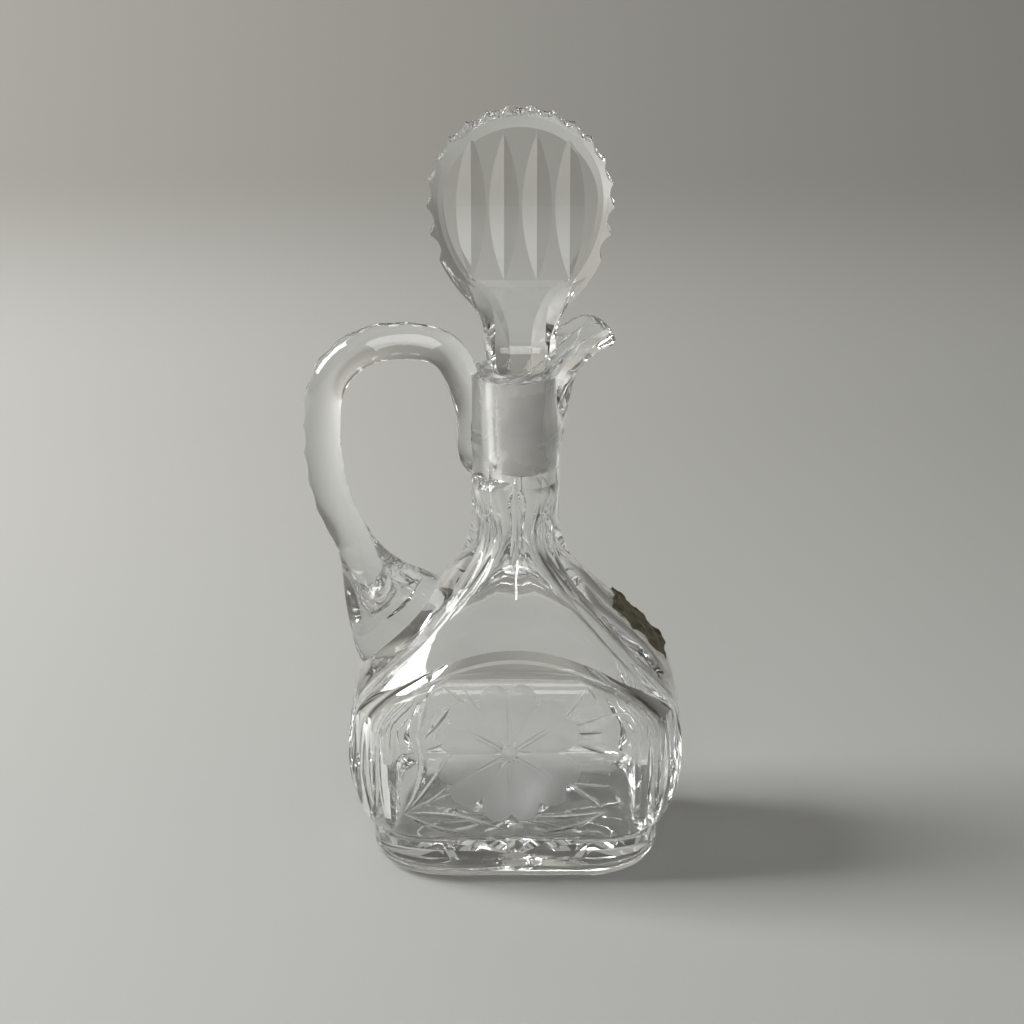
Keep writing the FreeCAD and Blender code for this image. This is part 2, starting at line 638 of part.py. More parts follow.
def handle():
    """A drawn rod: a blunt tail laid on the neck, the loop, and a foot pressed out on the shoulder.

    The tail and the foot run into the glass, so that the rod joins it wherever it meets it."""
    path = handle_path()
    side = number("Sizes.mouth_radius")
    level = number("Sizes.mouth_level")
    rod = []
    for inward, rise, lean, share in (
        (2.7, -4.5, -0.30, 0.30), (1.3, -2.0, -0.20, 0.62), (0.7, 2.0, -0.05, 0.76),
        (0.6, 8.0, -0.02, 0.78), (0.3, 13.5, -0.10, 0.80),
    ):
        rod.append((V(inward - side, 0, level + rise), V(lean, 0, 1), share))
    marks = 11
    for mark in range(marks):
        length = path.Length * (0.02 + 0.98 * mark / (marks - 1.0))
        point, along = point_along(path, length)
        rod.append((point, along, 0.90 + 0.10 * min(mark / 4.0, 1.0)))
    sections = []
    for centre, along, share in rod:
        along.normalize()
        half = "Sizes.handle_thick / 2 * %.3f" % share
        sections.append(oval("Rod%d" % len(sections), centre, along, half + " + 0.02", half))
    seat, outward, down = left_of_bell(number("Sizes.pad_share"))
    for off, slip, lean, long_share, wide_share in (
        (15.9, -2.0, 0.14, 0.525, 0.627),
        (8.0, 0.3, 0.05, 0.785, 0.836),
        (1.2, 1.5, 0.0, 1.0, 1.0),
        (-3.6, 1.2, 0.0, 1.04, 1.04),
    ):
        centre = seat + outward * off + down * slip
        along = (down * lean - outward).normalize()
        sections.append(oval("Pad%d" % len(sections), centre, along,
                             "Sizes.pad_long / 2 * %.3f" % long_share,
                             "Sizes.pad_wide / 2 * %.3f" % wide_share))
    return loft("HandleRod", sections)


def point_along(path, length):
    """The point at a length along the path, and the direction there."""
    for edge in path.Edges:
        if length <= edge.Length + 1e-6:
            place = edge.getParameterByLength(min(length, edge.Length))
            return edge.valueAt(place), edge.tangentAt(place)
        length -= edge.Length
    return path.Edges[-1].valueAt(path.Edges[-1].LastParameter), path.Edges[-1].tangentAt(
        path.Edges[-1].LastParameter)


def thumb_cuts():
    """Shallow hollows ground one after another along the outside of the loop."""
    path = handle_path()
    radius = number("Sizes.thumb_radius")
    width = number("Sizes.handle_thick * 3")
    middle = path.CenterOfMass
    cutters = []
    start = number("Sizes.thumb_start / 100")
    pitch = number("Sizes.thumb_pitch / 100")
    for mark in range(int(number("Sizes.thumb_count"))):
        point, along = point_along(path, path.Length * (start + pitch * mark))
        outward = V(0, 1, 0).cross(along).normalize()
        outward = outward if outward.dot(point - middle) > 0 else -outward
        cutter = doc.addObject("Part::Cylinder", "ThumbCut")
        bind(cutter, Height="Sizes.handle_thick * 3", Radius="Sizes.thumb_radius")
        centre = point + outward * (number("Sizes.handle_thick / 2 - Sizes.thumb_depth") + radius)
        centre.y = -width / 2
        cutter.Placement = FreeCAD.Placement(centre, FreeCAD.Rotation(UP, V(0, 1, 0)))
        cutters.append(cutter)
    return [compound("ThumbCutsA", *cutters[0::2]), compound("ThumbCutsB", *cutters[1::2])]


def star_cutter():
    """A star of mitre cuts under the foot, round a plain button, its points near the rounding."""
    rays = int(number("Sizes.star_rays"))
    inner = number("Sizes.star_button")
    depth = number("Sizes.star_depth")
    spread = number("Sizes.star_spread")
    flat_wide = number("Sizes.foot_width / 2 - Sizes.foot_round - Sizes.star_margin")
    flat_deep = number("Sizes.foot_depth / 2 - Sizes.foot_round - Sizes.star_margin")
    cutters = []
    for ray in range(rays):
        angle = 2 * math.pi * ray / rays
        outer = min(flat_wide / max(abs(math.cos(angle)), 0.01), flat_deep / max(abs(math.sin(angle)), 0.01))
        half = (outer - inner) / 2
        wheel = half * half / (2 * depth) + depth / 2
        edge = doc.addObject("Part::Polygon", "RayProfile")
        edge.Nodes = [V(0, 0, wheel), V(0, 2 * spread * depth, wheel - 2 * depth),
                      V(0, -2 * spread * depth, wheel - 2 * depth)]
        edge.Close = True
        cutter = doc.addObject("Part::Revolution", "Ray")
        cutter.Source = edge
        cutter.Axis = V(0, 1, 0)
        cutter.Base = V(0, 0, 0)
        cutter.Angle = 40
        cutter.Symmetric = True
        cutter.Solid = True
        turn = FreeCAD.Rotation(UP, math.degrees(angle))
        cutter.Placement = FreeCAD.Placement(turn.multVec(V(inner + half, 0, depth - wheel)), turn)
        cutters.append(cutter)
    return [compound("StarA", *cutters[0::2]), compound("StarB", *cutters[1::2])]


# ---------------------------------------------------------------- the carafe in one piece

def carafe():
    """Everything that is one piece of glass."""
    ends = belt()
    for cutters in flute_cutters():
        ends = cut("FlutedBelt", ends, cutters)
    base = foot()
    for cutters in star_cutter():
        base = cut("StarFoot", base, cutters)
    rod = handle()
    for cutters in thumb_cuts():
        rod = cut("CutHandle", rod, cutters)
    lip = cut("Lip", lip_blank(), rim_cutter())
    blank = fuse("Blank", shoulder(), ends, base, lip, rod)
    space = fuse("Space", hollow(), ground_seat(), lip_channel())
    return cut("carafe", blank, space)


# ---------------------------------------------------------------- stopper

WAIST_LEVEL = "Sizes.plug_top_level + Sizes.waist_rise"
FINIAL_LEVEL = WAIST_LEVEL + " + Sizes.finial_rise"


def origin_plane(body, role):
    """One of the body's own origin planes."""
    return next(plane for plane in body.Origin.OriginFeatures if plane.Role == role)


def body_sketch(body, name, role, sideways="0", upward="0", forward="0"):
    """A sketch on an origin plane of the body, its own origin moved within the plane and off it."""
    sketch = body.newObject("Sketcher::SketchObject", name)
    sketch.AttachmentSupport = [(origin_plane(body, role), "")]
    sketch.MapMode = "FlatFace"
    bind(sketch, AttachmentOffset__Base__x=sideways, AttachmentOffset__Base__y=upward,
         AttachmentOffset__Base__z=forward)
    return sketch


def pin(sketch, corners):
    """Draws a closed outline of straight sides and ties each corner to the sheet."""
    points = [V(number(x), number(y), 0) for x, y in corners]
    count = len(points)
    for side in range(count):
        sketch.addGeometry(Part.LineSegment(points[side], points[(side + 1) % count]), False)
    for side in range(count):
        rule(sketch, "Coincident", side, 2, (side + 1) % count, 1)
    for side, (x, y) in enumerate(corners):
        dimension(sketch, "across%d" % side, x, "DistanceX", -1, 1, side, 1)
        dimension(sketch, "along%d" % side, y, "DistanceY", -1, 1, side, 1)


def finial_plate(stopper):
    """The round plate of the finial: fuller cheeks below, drawn in by two hollow curves to the stem."""
    sketch = body_sketch(stopper, "FinialOutline", "XZ_Plane", upward=FINIAL_LEVEL)
    radius = number("Sizes.finial_radius")
    cheek = number("Sizes.cheek_radius")
    waist = number("Sizes.waist_width / 2")
    drop = number("Sizes.finial_rise")
    inset = cheek - radius
    hollow_radius = ((waist + inset) ** 2 + drop ** 2 - cheek ** 2) / (2 * (radius - waist))
    middle = V(waist + hollow_radius, -drop, 0)
    slope = math.atan2(drop, middle.x + inset)
    meet = V(cheek * math.cos(slope) - inset, -cheek * math.sin(slope), 0)
    side = V(cheek * math.cos(slope / 2) - inset, -cheek * math.sin(slope / 2), 0)
    bend = middle + V(-math.cos(slope / 2), math.sin(slope / 2), 0) * hollow_radius
    corner = V(waist, -drop, 0)

    def other(point):
        return V(-point.x, point.y, 0)

    brow = V(radius, 0, 0)
    for start, halfway, end in (
        (brow, V(0, radius, 0), other(brow)),
        (other(brow), other(side), other(meet)),
        (other(meet), other(bend), other(corner)),
        (corner, bend, meet),
        (meet, side, brow),
    ):
        sketch.addGeometry(Part.Arc(start, halfway, end), False)
    sketch.addGeometry(Part.LineSegment(other(corner), corner), False)
    rule(sketch, "Coincident", 0, 3, -1, 1)
    rule(sketch, "PointOnObject", 0, 1, -1)
    rule(sketch, "PointOnObject", 1, 3, -1)
    rule(sketch, "Tangent", 0, 2, 1, 1)
    rule(sketch, "Tangent", 1, 2, 2, 2)
    rule(sketch, "Coincident", 2, 1, 5, 1)
    rule(sketch, "Coincident", 5, 2, 3, 2)
    rule(sketch, "Tangent", 3, 1, 4, 1)
    rule(sketch, "Tangent", 4, 2, 0, 1)
    rule(sketch, "Horizontal", 3, 3, 5, 2)
    rule(sketch, "Symmetric", 5, 1, 5, 2, -2)
    rule(sketch, "Equal", 1, 4)
    rule(sketch, "Equal", 2, 3)
    dimension(sketch, "radius", "Sizes.finial_radius", "Radius", 0)
    dimension(sketch, "cheek", "Sizes.cheek_radius", "Radius", 1)
    dimension(sketch, "waist", "Sizes.waist_width", "DistanceX", 5, 1, 5, 2)
    dimension(sketch, "drop", "Sizes.finial_rise", "DistanceY", 5, 1, -1, 1)
    plate = stopper.newObject("PartDesign::Pad", "FinialPlate")
    plate.Profile = sketch
    plate.SideType = "Symmetric"
    bind(plate, Length="Sizes.finial_thick")
    return plate


def finial_bevel(stopper, plate):
    """Bevels both faces of the plate along the round edge only."""
    doc.recompute()
    half = number("Sizes.finial_thick / 2")
    radius = number("Sizes.finial_radius")
    names = [
        "Edge%d" % index for index, edge in enumerate(plate.Shape.Edges, start=1)
        if hasattr(edge.Curve, "Radius") and abs(edge.Curve.Radius - radius) < 0.01
        and abs(abs(edge.Vertexes[0].Y) - half) < 0.01 and abs(edge.Vertexes[1].Y - edge.Vertexes[0].Y) < 0.01
    ]
    bevel = stopper.newObject("PartDesign::Chamfer", "FinialBevel")
    bevel.Base = (plate, names)
    bevel.ChamferType = "Two distances"
    bind(bevel, Size="Sizes.bevel_drop", Size2="Sizes.bevel_width")
    return bevel


def stem(stopper):
    """A stem ground with ten flat sides. Above its waist it squares up and meets the plate's faces."""
    sides = int(number("Sizes.stem_sides"))
    sections = []
    for level, wide, deep, square in (
        ("Sizes.plug_top_level - 0.5", "Sizes.plug_top / 2 - 0.3", "Sizes.plug_top / 2 - 0.3", 0.0),
        ("Sizes.plug_top_level + 2.4", "Sizes.waist_width * 0.46", "Sizes.waist_width * 0.46", 0.0),
        ("Sizes.plug_top_level + 5.5", "Sizes.waist_width * 0.50", "Sizes.waist_width * 0.50", 0.0),
        (WAIST_LEVEL, "Sizes.waist_width * 0.502", "Sizes.waist_width * 0.49", 0.1),
        (WAIST_LEVEL + " + 5", "Sizes.waist_width * 0.56", "Sizes.waist_width * 0.44", 0.35),
        (WAIST_LEVEL + " + 10", "Sizes.waist_width * 0.66", "Sizes.waist_width * 0.37", 0.55),
        (WAIST_LEVEL + " + 14.5", "Sizes.waist_width * 0.80", "Sizes.finial_thick / 2 + 0.3", 0.70),
        (WAIST_LEVEL + " + 18", "Sizes.waist_width * 0.92", "Sizes.finial_thick / 2 - 0.7", 0.75),
    ):
        sketch = body_sketch(stopper, "Stem%d" % len(sections), "XY_Plane", forward=level)
        corners = []
        for corner in range(sides):
            turn = 2 * math.pi * corner / sides
            across = math.copysign(abs(math.cos(turn)) ** (1 - square), math.cos(turn))
            along = math.copysign(abs(math.sin(turn)) ** (1 - square), math.sin(turn))
            corners.append(("(%s) * %.5f" % (wide, across), "(%s) * %.5f" % (deep, along)))
        pin(sketch, corners)
        sections.append(sketch)
    drawn = stopper.newObject("PartDesign::AdditiveLoft", "Stem")
    drawn.Profile = sections[0]
    drawn.Sections = sections[1:]
    return drawn


def plug(stopper):
    """The ground plug: a slight taper, its end left domed."""
    sketch = body_sketch(stopper, "PlugOutline", "XZ_Plane", upward="Sizes.plug_top_level")
    top, tip, length = (number("Sizes." + name) for name in ("plug_top", "plug_tip", "plug_length"))
    rise = number("Sizes.plug_dome")
    heel = V(tip / 2, rise - length, 0)
    nadir = V(0, -length, 0)
    dome = (heel.x ** 2 + rise ** 2) / (2 * rise)
    half = math.asin(heel.x / dome) / 2
    flank = V(dome * math.sin(half), -length + dome - dome * math.cos(half), 0)
    sketch.addGeometry(Part.LineSegment(V(0, 0, 0), nadir), False)
    sketch.addGeometry(Part.Arc(nadir, flank, heel), False)
    sketch.addGeometry(Part.LineSegment(heel, V(top / 2, 0, 0)), False)
    sketch.addGeometry(Part.LineSegment(V(top / 2, 0, 0), V(0, 0, 0)), False)
    for side in range(4):
        rule(sketch, "Coincident", side, 2, (side + 1) % 4, 1)
    rule(sketch, "Coincident", 0, 1, -1, 1)
    rule(sketch, "Vertical", 0)
    rule(sketch, "Horizontal", 3)
    rule(sketch, "PointOnObject", 1, 3, -2)
    dimension(sketch, "length", "-Sizes.plug_length", "DistanceY", -1, 1, 0, 2)
    dimension(sketch, "tip", "Sizes.plug_tip / 2", "DistanceX", -1, 1, 2, 1)
    dimension(sketch, "heel", "Sizes.plug_dome - Sizes.plug_length", "DistanceY", -1, 1, 2, 1)
    dimension(sketch, "top", "Sizes.plug_top / 2", "DistanceX", -1, 1, 2, 2)
    ground = stopper.newObject("PartDesign::Revolution", "Plug")
    ground.Profile = sketch
    ground.ReferenceAxis = (sketch, ["V_Axis"])
    ground.Angle = 360
    return ground


def mitre_row(stopper):
    """Upright mitre cuts side by side on the plate's front: a wheel's groove, repeated."""
    length = number("Sizes.mitre_length / 2")
    depth = number("Sizes.mitre_depth")
    wheel = (length ** 2 + depth ** 2) / (2 * depth)
    off = "Sizes.mitre_depth - Sizes.finial_thick / 2 - %.5f" % wheel
    sketch = body_sketch(stopper, "MitreProfile", "XY_Plane",
                         sideways="-(Sizes.mitre_count - 1) / 2 * Sizes.mitre_pitch",
                         upward=off, forward=FINIAL_LEVEL + " - Sizes.mitre_drop")
    edge = "%.5f - 2 * Sizes.mitre_depth" % wheel
    pin(sketch, [("0", "%.5f" % wheel), ("Sizes.mitre_width", edge), ("-Sizes.mitre_width", edge)])
    groove = stopper.newObject("PartDesign::Groove", "Mitre")
    groove.Profile = sketch
    groove.ReferenceAxis = (sketch, ["H_Axis"])
    groove.Angle = 360
    row = stopper.newObject("PartDesign::LinearPattern", "MitreRow")
    row.Originals = [groove]
    row.Direction = (sketch, ["H_Axis"])
    row.Occurrences = int(number("Sizes.mitre_count"))
    bind(row, Length="(Sizes.mitre_count - 1) * Sizes.mitre_pitch")
    stopper.Tip = row
    return row


def nicks(stopper, name, places):
    """Round nicks through the plate, each at its own place in the outline's sketch."""
    sketch = body_sketch(stopper, name + "Profile", "XZ_Plane", upward=FINIAL_LEVEL)
    for index, (across, along) in enumerate(places):
        centre = V(number(across), number(along), 0)
        sketch.addGeometry(Part.Circle(centre, V(0, 0, 1), number("Sizes.scallop_radius")), False)
        dimension(sketch, "across%d" % index, across, "DistanceX", -1, 1, index, 3)
        dimension(sketch, "along%d" % index, along, "DistanceY", -1, 1, index, 3)
        dimension(sketch, "wheel%d" % index, "Sizes.scallop_radius", "Radius", index)
    nick = stopper.newObject("PartDesign::Pocket", name)
    nick.Profile = sketch
    nick.SideType = "Symmetric"
    bind(nick, Length="Sizes.finial_thick * 2")
    return sketch, nick


def scallops(stopper):
    """A round wheel's nicks along the plate's edge: close over the top, wider down both cheeks."""
    count = int(number("Sizes.scallop_count"))
    span = (count - 1) * number("Sizes.scallop_pitch")
    start = math.radians(90 - span / 2)
    reach = "(Sizes.finial_radius + Sizes.scallop_radius - Sizes.scallop_depth)"
    first = [("%s * %.6f" % (reach, math.cos(start)), "%s * %.6f" % (reach, math.sin(start)))]
    sketch, nick = nicks(stopper, "Scallop", first)
    ring = stopper.newObject("PartDesign::PolarPattern", "Scallops")
    ring.Originals = [nick]
    ring.Axis = (sketch, ["N_Axis"])
    ring.Occurrences = count
    ring.Angle = span
    stopper.Tip = ring
    reach = "(Sizes.cheek_radius + Sizes.scallop_radius - Sizes.cheek_depth)"
    inset = "(Sizes.cheek_radius - Sizes.finial_radius)"
    sides = []
    for place in (0.67, 1.67):
        turn = math.radians(place * number("Sizes.cheek_pitch"))
        for hand in (1, -1):
            across = "%d * (%s * %.6f - %s)" % (hand, reach, math.cos(turn), inset)
            sides.append((across, "-%s * %.6f" % (reach, math.sin(turn))))
    sketch, nick = nicks(stopper, "CheekScallops", sides)
    stopper.Tip = nick
    return nick


def stopper():
    """The ground plug, its stem and the round cut finial, in one piece."""
    body = doc.addObject("PartDesign::Body", "stopper")
    bind(body, Placement__Base__x="Sizes.bore_shift")
    plate = finial_plate(body)
    finial_bevel(body, plate)
    doc.recompute()
    mitre_row(body)
    stem(body)
    plug(body)
    scallops(body)
    return body


# ---------------------------------------------------------------- label

def label():
    """A small bare foil label, bent over the right shoulder a glue line clear of the glass."""
    t = number("(Sizes.neck_level - Sizes.label_level) / (Sizes.neck_level - Sizes.shoulder_level)")
    fall = number("(Sizes.shoulder_width - Sizes.neck_width) / 2")
    out = number("Sizes.neck_width / 2") + fall * ease(t)
    slope = fall * 6 * t * (1 - t) / number("Sizes.neck_level - Sizes.shoulder_level")
    normal = V(1, 0, slope).normalize()
    patch = doc.addObject("Part::Box", "LabelPatch")
    bind(patch, Length="Sizes.label_long", Width="Sizes.label_wide", Height="10")
    along = V(0, 1, 0).cross(normal)
    corner = V(out, 0, number("Sizes.label_level")) - normal * 5
    corner = corner - along * number("Sizes.label_long / 2") - V(0, number("Sizes.label_wide / 2"), 0)
    patch.Placement = FreeCAD.Placement(corner, FreeCAD.Rotation(along, V(0, 1, 0), normal, "XYZ"))
    skin = bell("LabelTop", NECK_TO_SHOULDER + (1.25,), swell="Sizes.label_gap + Sizes.label_thick")
    under = bell("LabelUnder", NECK_TO_SHOULDER + (1.25,), swell="Sizes.label_gap")
    return cut("label", common("LabelBlank", skin, patch), under)


# ---------------------------------------------------------------- build, check, write

def build():
    """Makes the three pieces, checks them and writes one STEP file for each."""
    pieces = [carafe(), stopper(), label()]
    doc.recompute()
    failed = [thing.Name for thing in doc.Objects if set(thing.State) & {"Invalid", "Error"}]
    if failed:
        raise RuntimeError("features failed: " + ", ".join(failed))
    for piece in pieces:
        shape = piece.Shape
        if shape.isNull() or not shape.isValid() or len(shape.Solids) != 1:
            raise RuntimeError(piece.Label + " is not one valid solid")
    os.makedirs("parts", exist_ok=True)
    for piece in pieces:
        piece.Shape.exportStep("parts/%s.step" % piece.Label)
        print("%-8s %9.1f mm3" % (piece.Label, piece.Shape.Volume))


build()
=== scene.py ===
# %% [markdown]
# # A cut-glass liqueur carafe
#
# The frame holds three parts: the carafe in one piece of glass, its ground stopper and a small
# bare foil label. This lesson stands them on pale paper beside a soft window light, engraves the
# front, and gives polished, ground and engraved glass their own finish. Sizes are in metres, the
# table is z = 0 and the engraved front faces -Y.

# %% Load the frame
import math

import bpy
import numpy as np
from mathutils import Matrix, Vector
from mathutils.bvhtree import BVHTree


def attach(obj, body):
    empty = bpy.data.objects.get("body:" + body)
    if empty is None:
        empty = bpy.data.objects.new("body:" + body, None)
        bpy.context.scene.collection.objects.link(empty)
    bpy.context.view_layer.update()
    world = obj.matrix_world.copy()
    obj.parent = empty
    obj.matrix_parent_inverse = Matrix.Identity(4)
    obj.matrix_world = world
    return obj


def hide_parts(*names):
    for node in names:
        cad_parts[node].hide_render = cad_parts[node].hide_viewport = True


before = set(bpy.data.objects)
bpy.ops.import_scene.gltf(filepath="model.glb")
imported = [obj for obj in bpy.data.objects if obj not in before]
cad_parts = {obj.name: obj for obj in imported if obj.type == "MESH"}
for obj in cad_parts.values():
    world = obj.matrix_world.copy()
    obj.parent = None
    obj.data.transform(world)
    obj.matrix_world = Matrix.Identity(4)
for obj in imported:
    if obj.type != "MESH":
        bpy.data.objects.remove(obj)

MM = 0.001
scene = bpy.context.scene
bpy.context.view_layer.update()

# %% [markdown]
# ## Camera
#
# A small glass is seen from a little above and from arm's length. A long lens keeps its upright
# lines nearly parallel, so the camera stands well back. Light enters and leaves thick cut glass
# many times before it gets out, so a ray may pass through many surfaces.

# %% Camera
scene.view_settings.view_transform = "Standard"
BOUNCES, MIRROR_BOUNCES = 28, 12
ASIDE, DISTANCE, HEIGHT, PITCH = -0.9 * MM, 0.900, 0.413, 19.2
scene.cycles.max_bounces = BOUNCES
scene.cycles.transmission_bounces = BOUNCES
scene.cycles.glossy_bounces = MIRROR_BOUNCES
eye = bpy.data.cameras.new("Eye")
eye.lens = 120.0
eye.clip_end = 20.0
camera = bpy.data.objects.new("Eye", eye)
camera.location = (ASIDE, -DISTANCE, HEIGHT)
camera.rotation_euler = (math.radians(90 - PITCH), 0, 0)
scene.collection.objects.link(camera)
scene.camera = camera
print("camera at", tuple(round(c, 3) for c in camera.location))

# %% [markdown]
# ## Small helpers
#
# Materials below are wired by code. These helpers make a node with its values set, mix two
# colours, turn a measure into a value from 0 to 1, and split a place into X, Y and Z.


# %% Helpers for materials
def new_material(name):
    """An empty material with its node tree and output."""
    material = bpy.data.materials.new(name)
    material.use_nodes = True
    tree = material.node_tree
    tree.nodes.clear()
    tree.nodes.new("ShaderNodeOutputMaterial")
    return material, tree


def node(tree, kind, **values):
    """A node with some of its properties or input sockets set."""
    made = tree.nodes.new("ShaderNode" + kind)
    for name, value in values.items():
        if name in made.bl_rna.properties:
            setattr(made, name, value)
        else:
            made.inputs[name.replace("_", " ")].default_value = value
    return made


def blend(tree, first, second, factor):
    """A node socket that mixes two colours, each a colour or another socket."""
    mix = node(tree, "Mix", data_type="RGBA")
    for slot, colour in (("A", first), ("B", second)):
        if isinstance(colour, tuple):
            mix.inputs[slot].default_value = (*colour, 1)
        else:
            tree.links.new(colour, mix.inputs[slot])
    tree.links.new(factor, mix.inputs["Factor"])
    return mix.outputs["Result"]


def ramp(tree, source, low, high, smooth=True):
    """A socket that climbs from 0 to 1 while its source goes from low to high."""
    span = node(tree, "MapRange", interpolation_type="SMOOTHSTEP" if smooth else "LINEAR")
    span.inputs["From Min"].default_value = low
    span.inputs["From Max"].default_value = high
    tree.links.new(source, span.inputs["Value"])
    return span.outputs["Result"]


def coordinates(tree, kind):
    """The X, Y and Z sockets of a texture coordinate."""
    where = node(tree, "TexCoord")
    split = node(tree, "SeparateXYZ")
    tree.links.new(where.outputs[kind], split.inputs[0])
    return split.outputs


def use_shader(tree, shader):
    """Send the shader to the material's output."""
    tree.links.new(shader.outputs[0], tree.nodes["Material Output"].inputs[0])


print("helpers: new_material, node, blend, ramp, coordinates, use_shader")

# %% [markdown]
# ## Paper
#
# One long sheet lies on the table and curves up behind the glass, so there is no edge where the
# table ends. Its colour carries painted window light and shade: lighter on the left, darker to
# the right and up the bend, with the change across growing towards the back. It lies a hair
# below the foot: light slips between them, and the glass keeps its own shine underneath.

# %% Paper sweep
PAPER_FRONT, PAPER_FLAT, PAPER_BEND, PAPER_TOP, PAPER_SIDE = 2.6, 0.40, 0.70, 2.6, 2.6
PAPER_GAP = 0.00004
BEND_STEPS = 32


def paper_sweep():
    """Paper that lies flat, then curves up behind into a backdrop."""
    rows = [(-PAPER_FRONT, 0.0), (PAPER_FLAT, 0.0)]
    for step in range(1, BEND_STEPS + 1):
        turn = math.radians(90 * step / BEND_STEPS)
        back = PAPER_FLAT + PAPER_BEND * math.sin(turn)
        rows.append((back, PAPER_BEND - PAPER_BEND * math.cos(turn)))
    rows.append((PAPER_FLAT + PAPER_BEND, PAPER_TOP))
    points = [(side * PAPER_SIDE, y, z - PAPER_GAP) for y, z in rows for side in (-1, 1)]
    faces = [(2 * r, 2 * r + 1, 2 * r + 3, 2 * r + 2) for r in range(len(rows) - 1)]
    mesh = bpy.data.meshes.new("PaperSweep")
    mesh.from_pydata(points, [], faces)
    mesh.shade_smooth()
    sweep = bpy.data.objects.new("PaperSweep", mesh)
    scene.collection.objects.link(sweep)
    return sweep


def paper_with_painted_light():
    """Matt paper with painted window light and shade: its colour changes across, towards the back
    and up the bend.
    """
    paper, tree = new_material("PaperWithPaintedLight")
    shader = node(tree, "BsdfPrincipled", Roughness=0.7)
    place = coordinates(tree, "Object")
    # painted window light: the colour is lighter on the left and darker to the right, more so at
    # the back
    across = ramp(tree, place["X"], -0.35, 0.45, smooth=False)
    near = blend(tree, (0.485, 0.490, 0.470), (0.425, 0.432, 0.418), across)
    far = blend(tree, (0.590, 0.585, 0.560), (0.332, 0.335, 0.319), across)
    flat = blend(tree, near, far, ramp(tree, place["Y"], -0.15, 0.45))
    # painted shade: the bend and the backdrop above it are coloured darker as they rise
    risen_painted_shade = blend(tree, (0.372, 0.362, 0.332), (0.233, 0.228, 0.212), across)
    tone = blend(tree, flat, risen_painted_shade, ramp(tree, place["Z"], -0.006, 0.045))
    tree.links.new(tone, shader.inputs["Base Color"])
    use_shader(tree, shader)
    return paper


sweep = paper_sweep()
sweep.data.materials.append(paper_with_painted_light())
print("paper:", len(sweep.data.polygons), "strips")

# %% [markdown]
# ## Light
#
# A tall window stands to the left. A weak pale wall in front lifts the shaded sides, and it is
# kept out of mirror reflections, because a soft wall shows no outline in glass. The rest of the
# room is pale overhead and dim and brown low down, which gives the cuts their dark lines.

# %% Light
LIT_POINT = (0, 0, 0.08)


def soft_light(name, place, size, power):
    """An area lamp that faces the middle of the glass."""
    lamp = bpy.data.lights.new(name, "AREA")
    lamp.shape = "RECTANGLE"
    lamp.size, lamp.size_y = size
    lamp.energy = power
    holder = bpy.data.objects.new(name, lamp)
    holder.location = place
    aim = Vector(LIT_POINT) - Vector(place)
    holder.rotation_euler = aim.to_track_quat("-Z", "Y").to_euler()
    scene.collection.objects.link(holder)
    return holder


def room(light, dark, strength):
    """A plain room: pale overhead and on the window's side, dim and brown low down elsewhere."""
    world = bpy.data.worlds.new("Room")
    world.use_nodes = True
    tree = world.node_tree
    way = coordinates(tree, "Generated")
    far_side = node(tree, "Math", operation="MAXIMUM")
    tree.links.new(ramp(tree, way["X"], -0.30, 0.75), far_side.inputs[0])
    tree.links.new(ramp(tree, way["Y"], 0.10, -0.65), far_side.inputs[1])
    shade = node(tree, "Math", operation="MULTIPLY")
    tree.links.new(far_side.outputs[0], shade.inputs[0])
    tree.links.new(ramp(tree, way["Z"], 0.75, 0.10), shade.inputs[1])
    ground = tree.nodes["Background"]
    tree.links.new(blend(tree, light, dark, shade.outputs[0]), ground.inputs["Color"])
    ground.inputs["Strength"].default_value = strength
    return world


soft_light("Window", (-1.25, 0.05, 0.85), (0.75, 0.95), 29)
pale_wall = soft_light("PaleWall", (-0.15, -1.9, 0.62), (0.9, 0.7), 9)
pale_wall.visible_glossy = False
scene.world = room((0.47, 0.465, 0.44), (0.040, 0.030, 0.020), 0.7)

# %% [markdown]
# ## Engraving
#
# The front of the belt carries a stone-engraved flower between fine cuts. A wheel takes glass
# away, so the marks are real hollows: the fine mesh below is pressed in along its normals. Each
# petal is two dished strokes side by side. The leaves and the corner fans are V-shaped mitre
# cuts.

# %% Engraver's plan, in millimetres on the front face
FLOWER = np.array((-1.7, 40.4))
PETALS = (91, 33, -32, -88, -149, 151)
STROKE_TURN = 12.5
STROKE_START, STROKE_END, STROKE_HALF = 1.5, 20.8, 4.6
STROKE_PEAK, STROKE_BELLY, STROKE_NARROW, STROKE_LAST = 0.70, 1.1, 0.02, 1.3
PETAL_DEPTH, PETAL_SHALLOW = 0.42, 0.35
VEIN_FROM, VEIN_TO, VEIN_APART, VEIN_WIDTH, VEIN_DEPTH = 2.4, 14.5, 0.55, 0.5, 0.25
HEART, HEART_RISE, HEART_RIM = 2.2, 0.30, 0.10
NO_MARK = 9.0
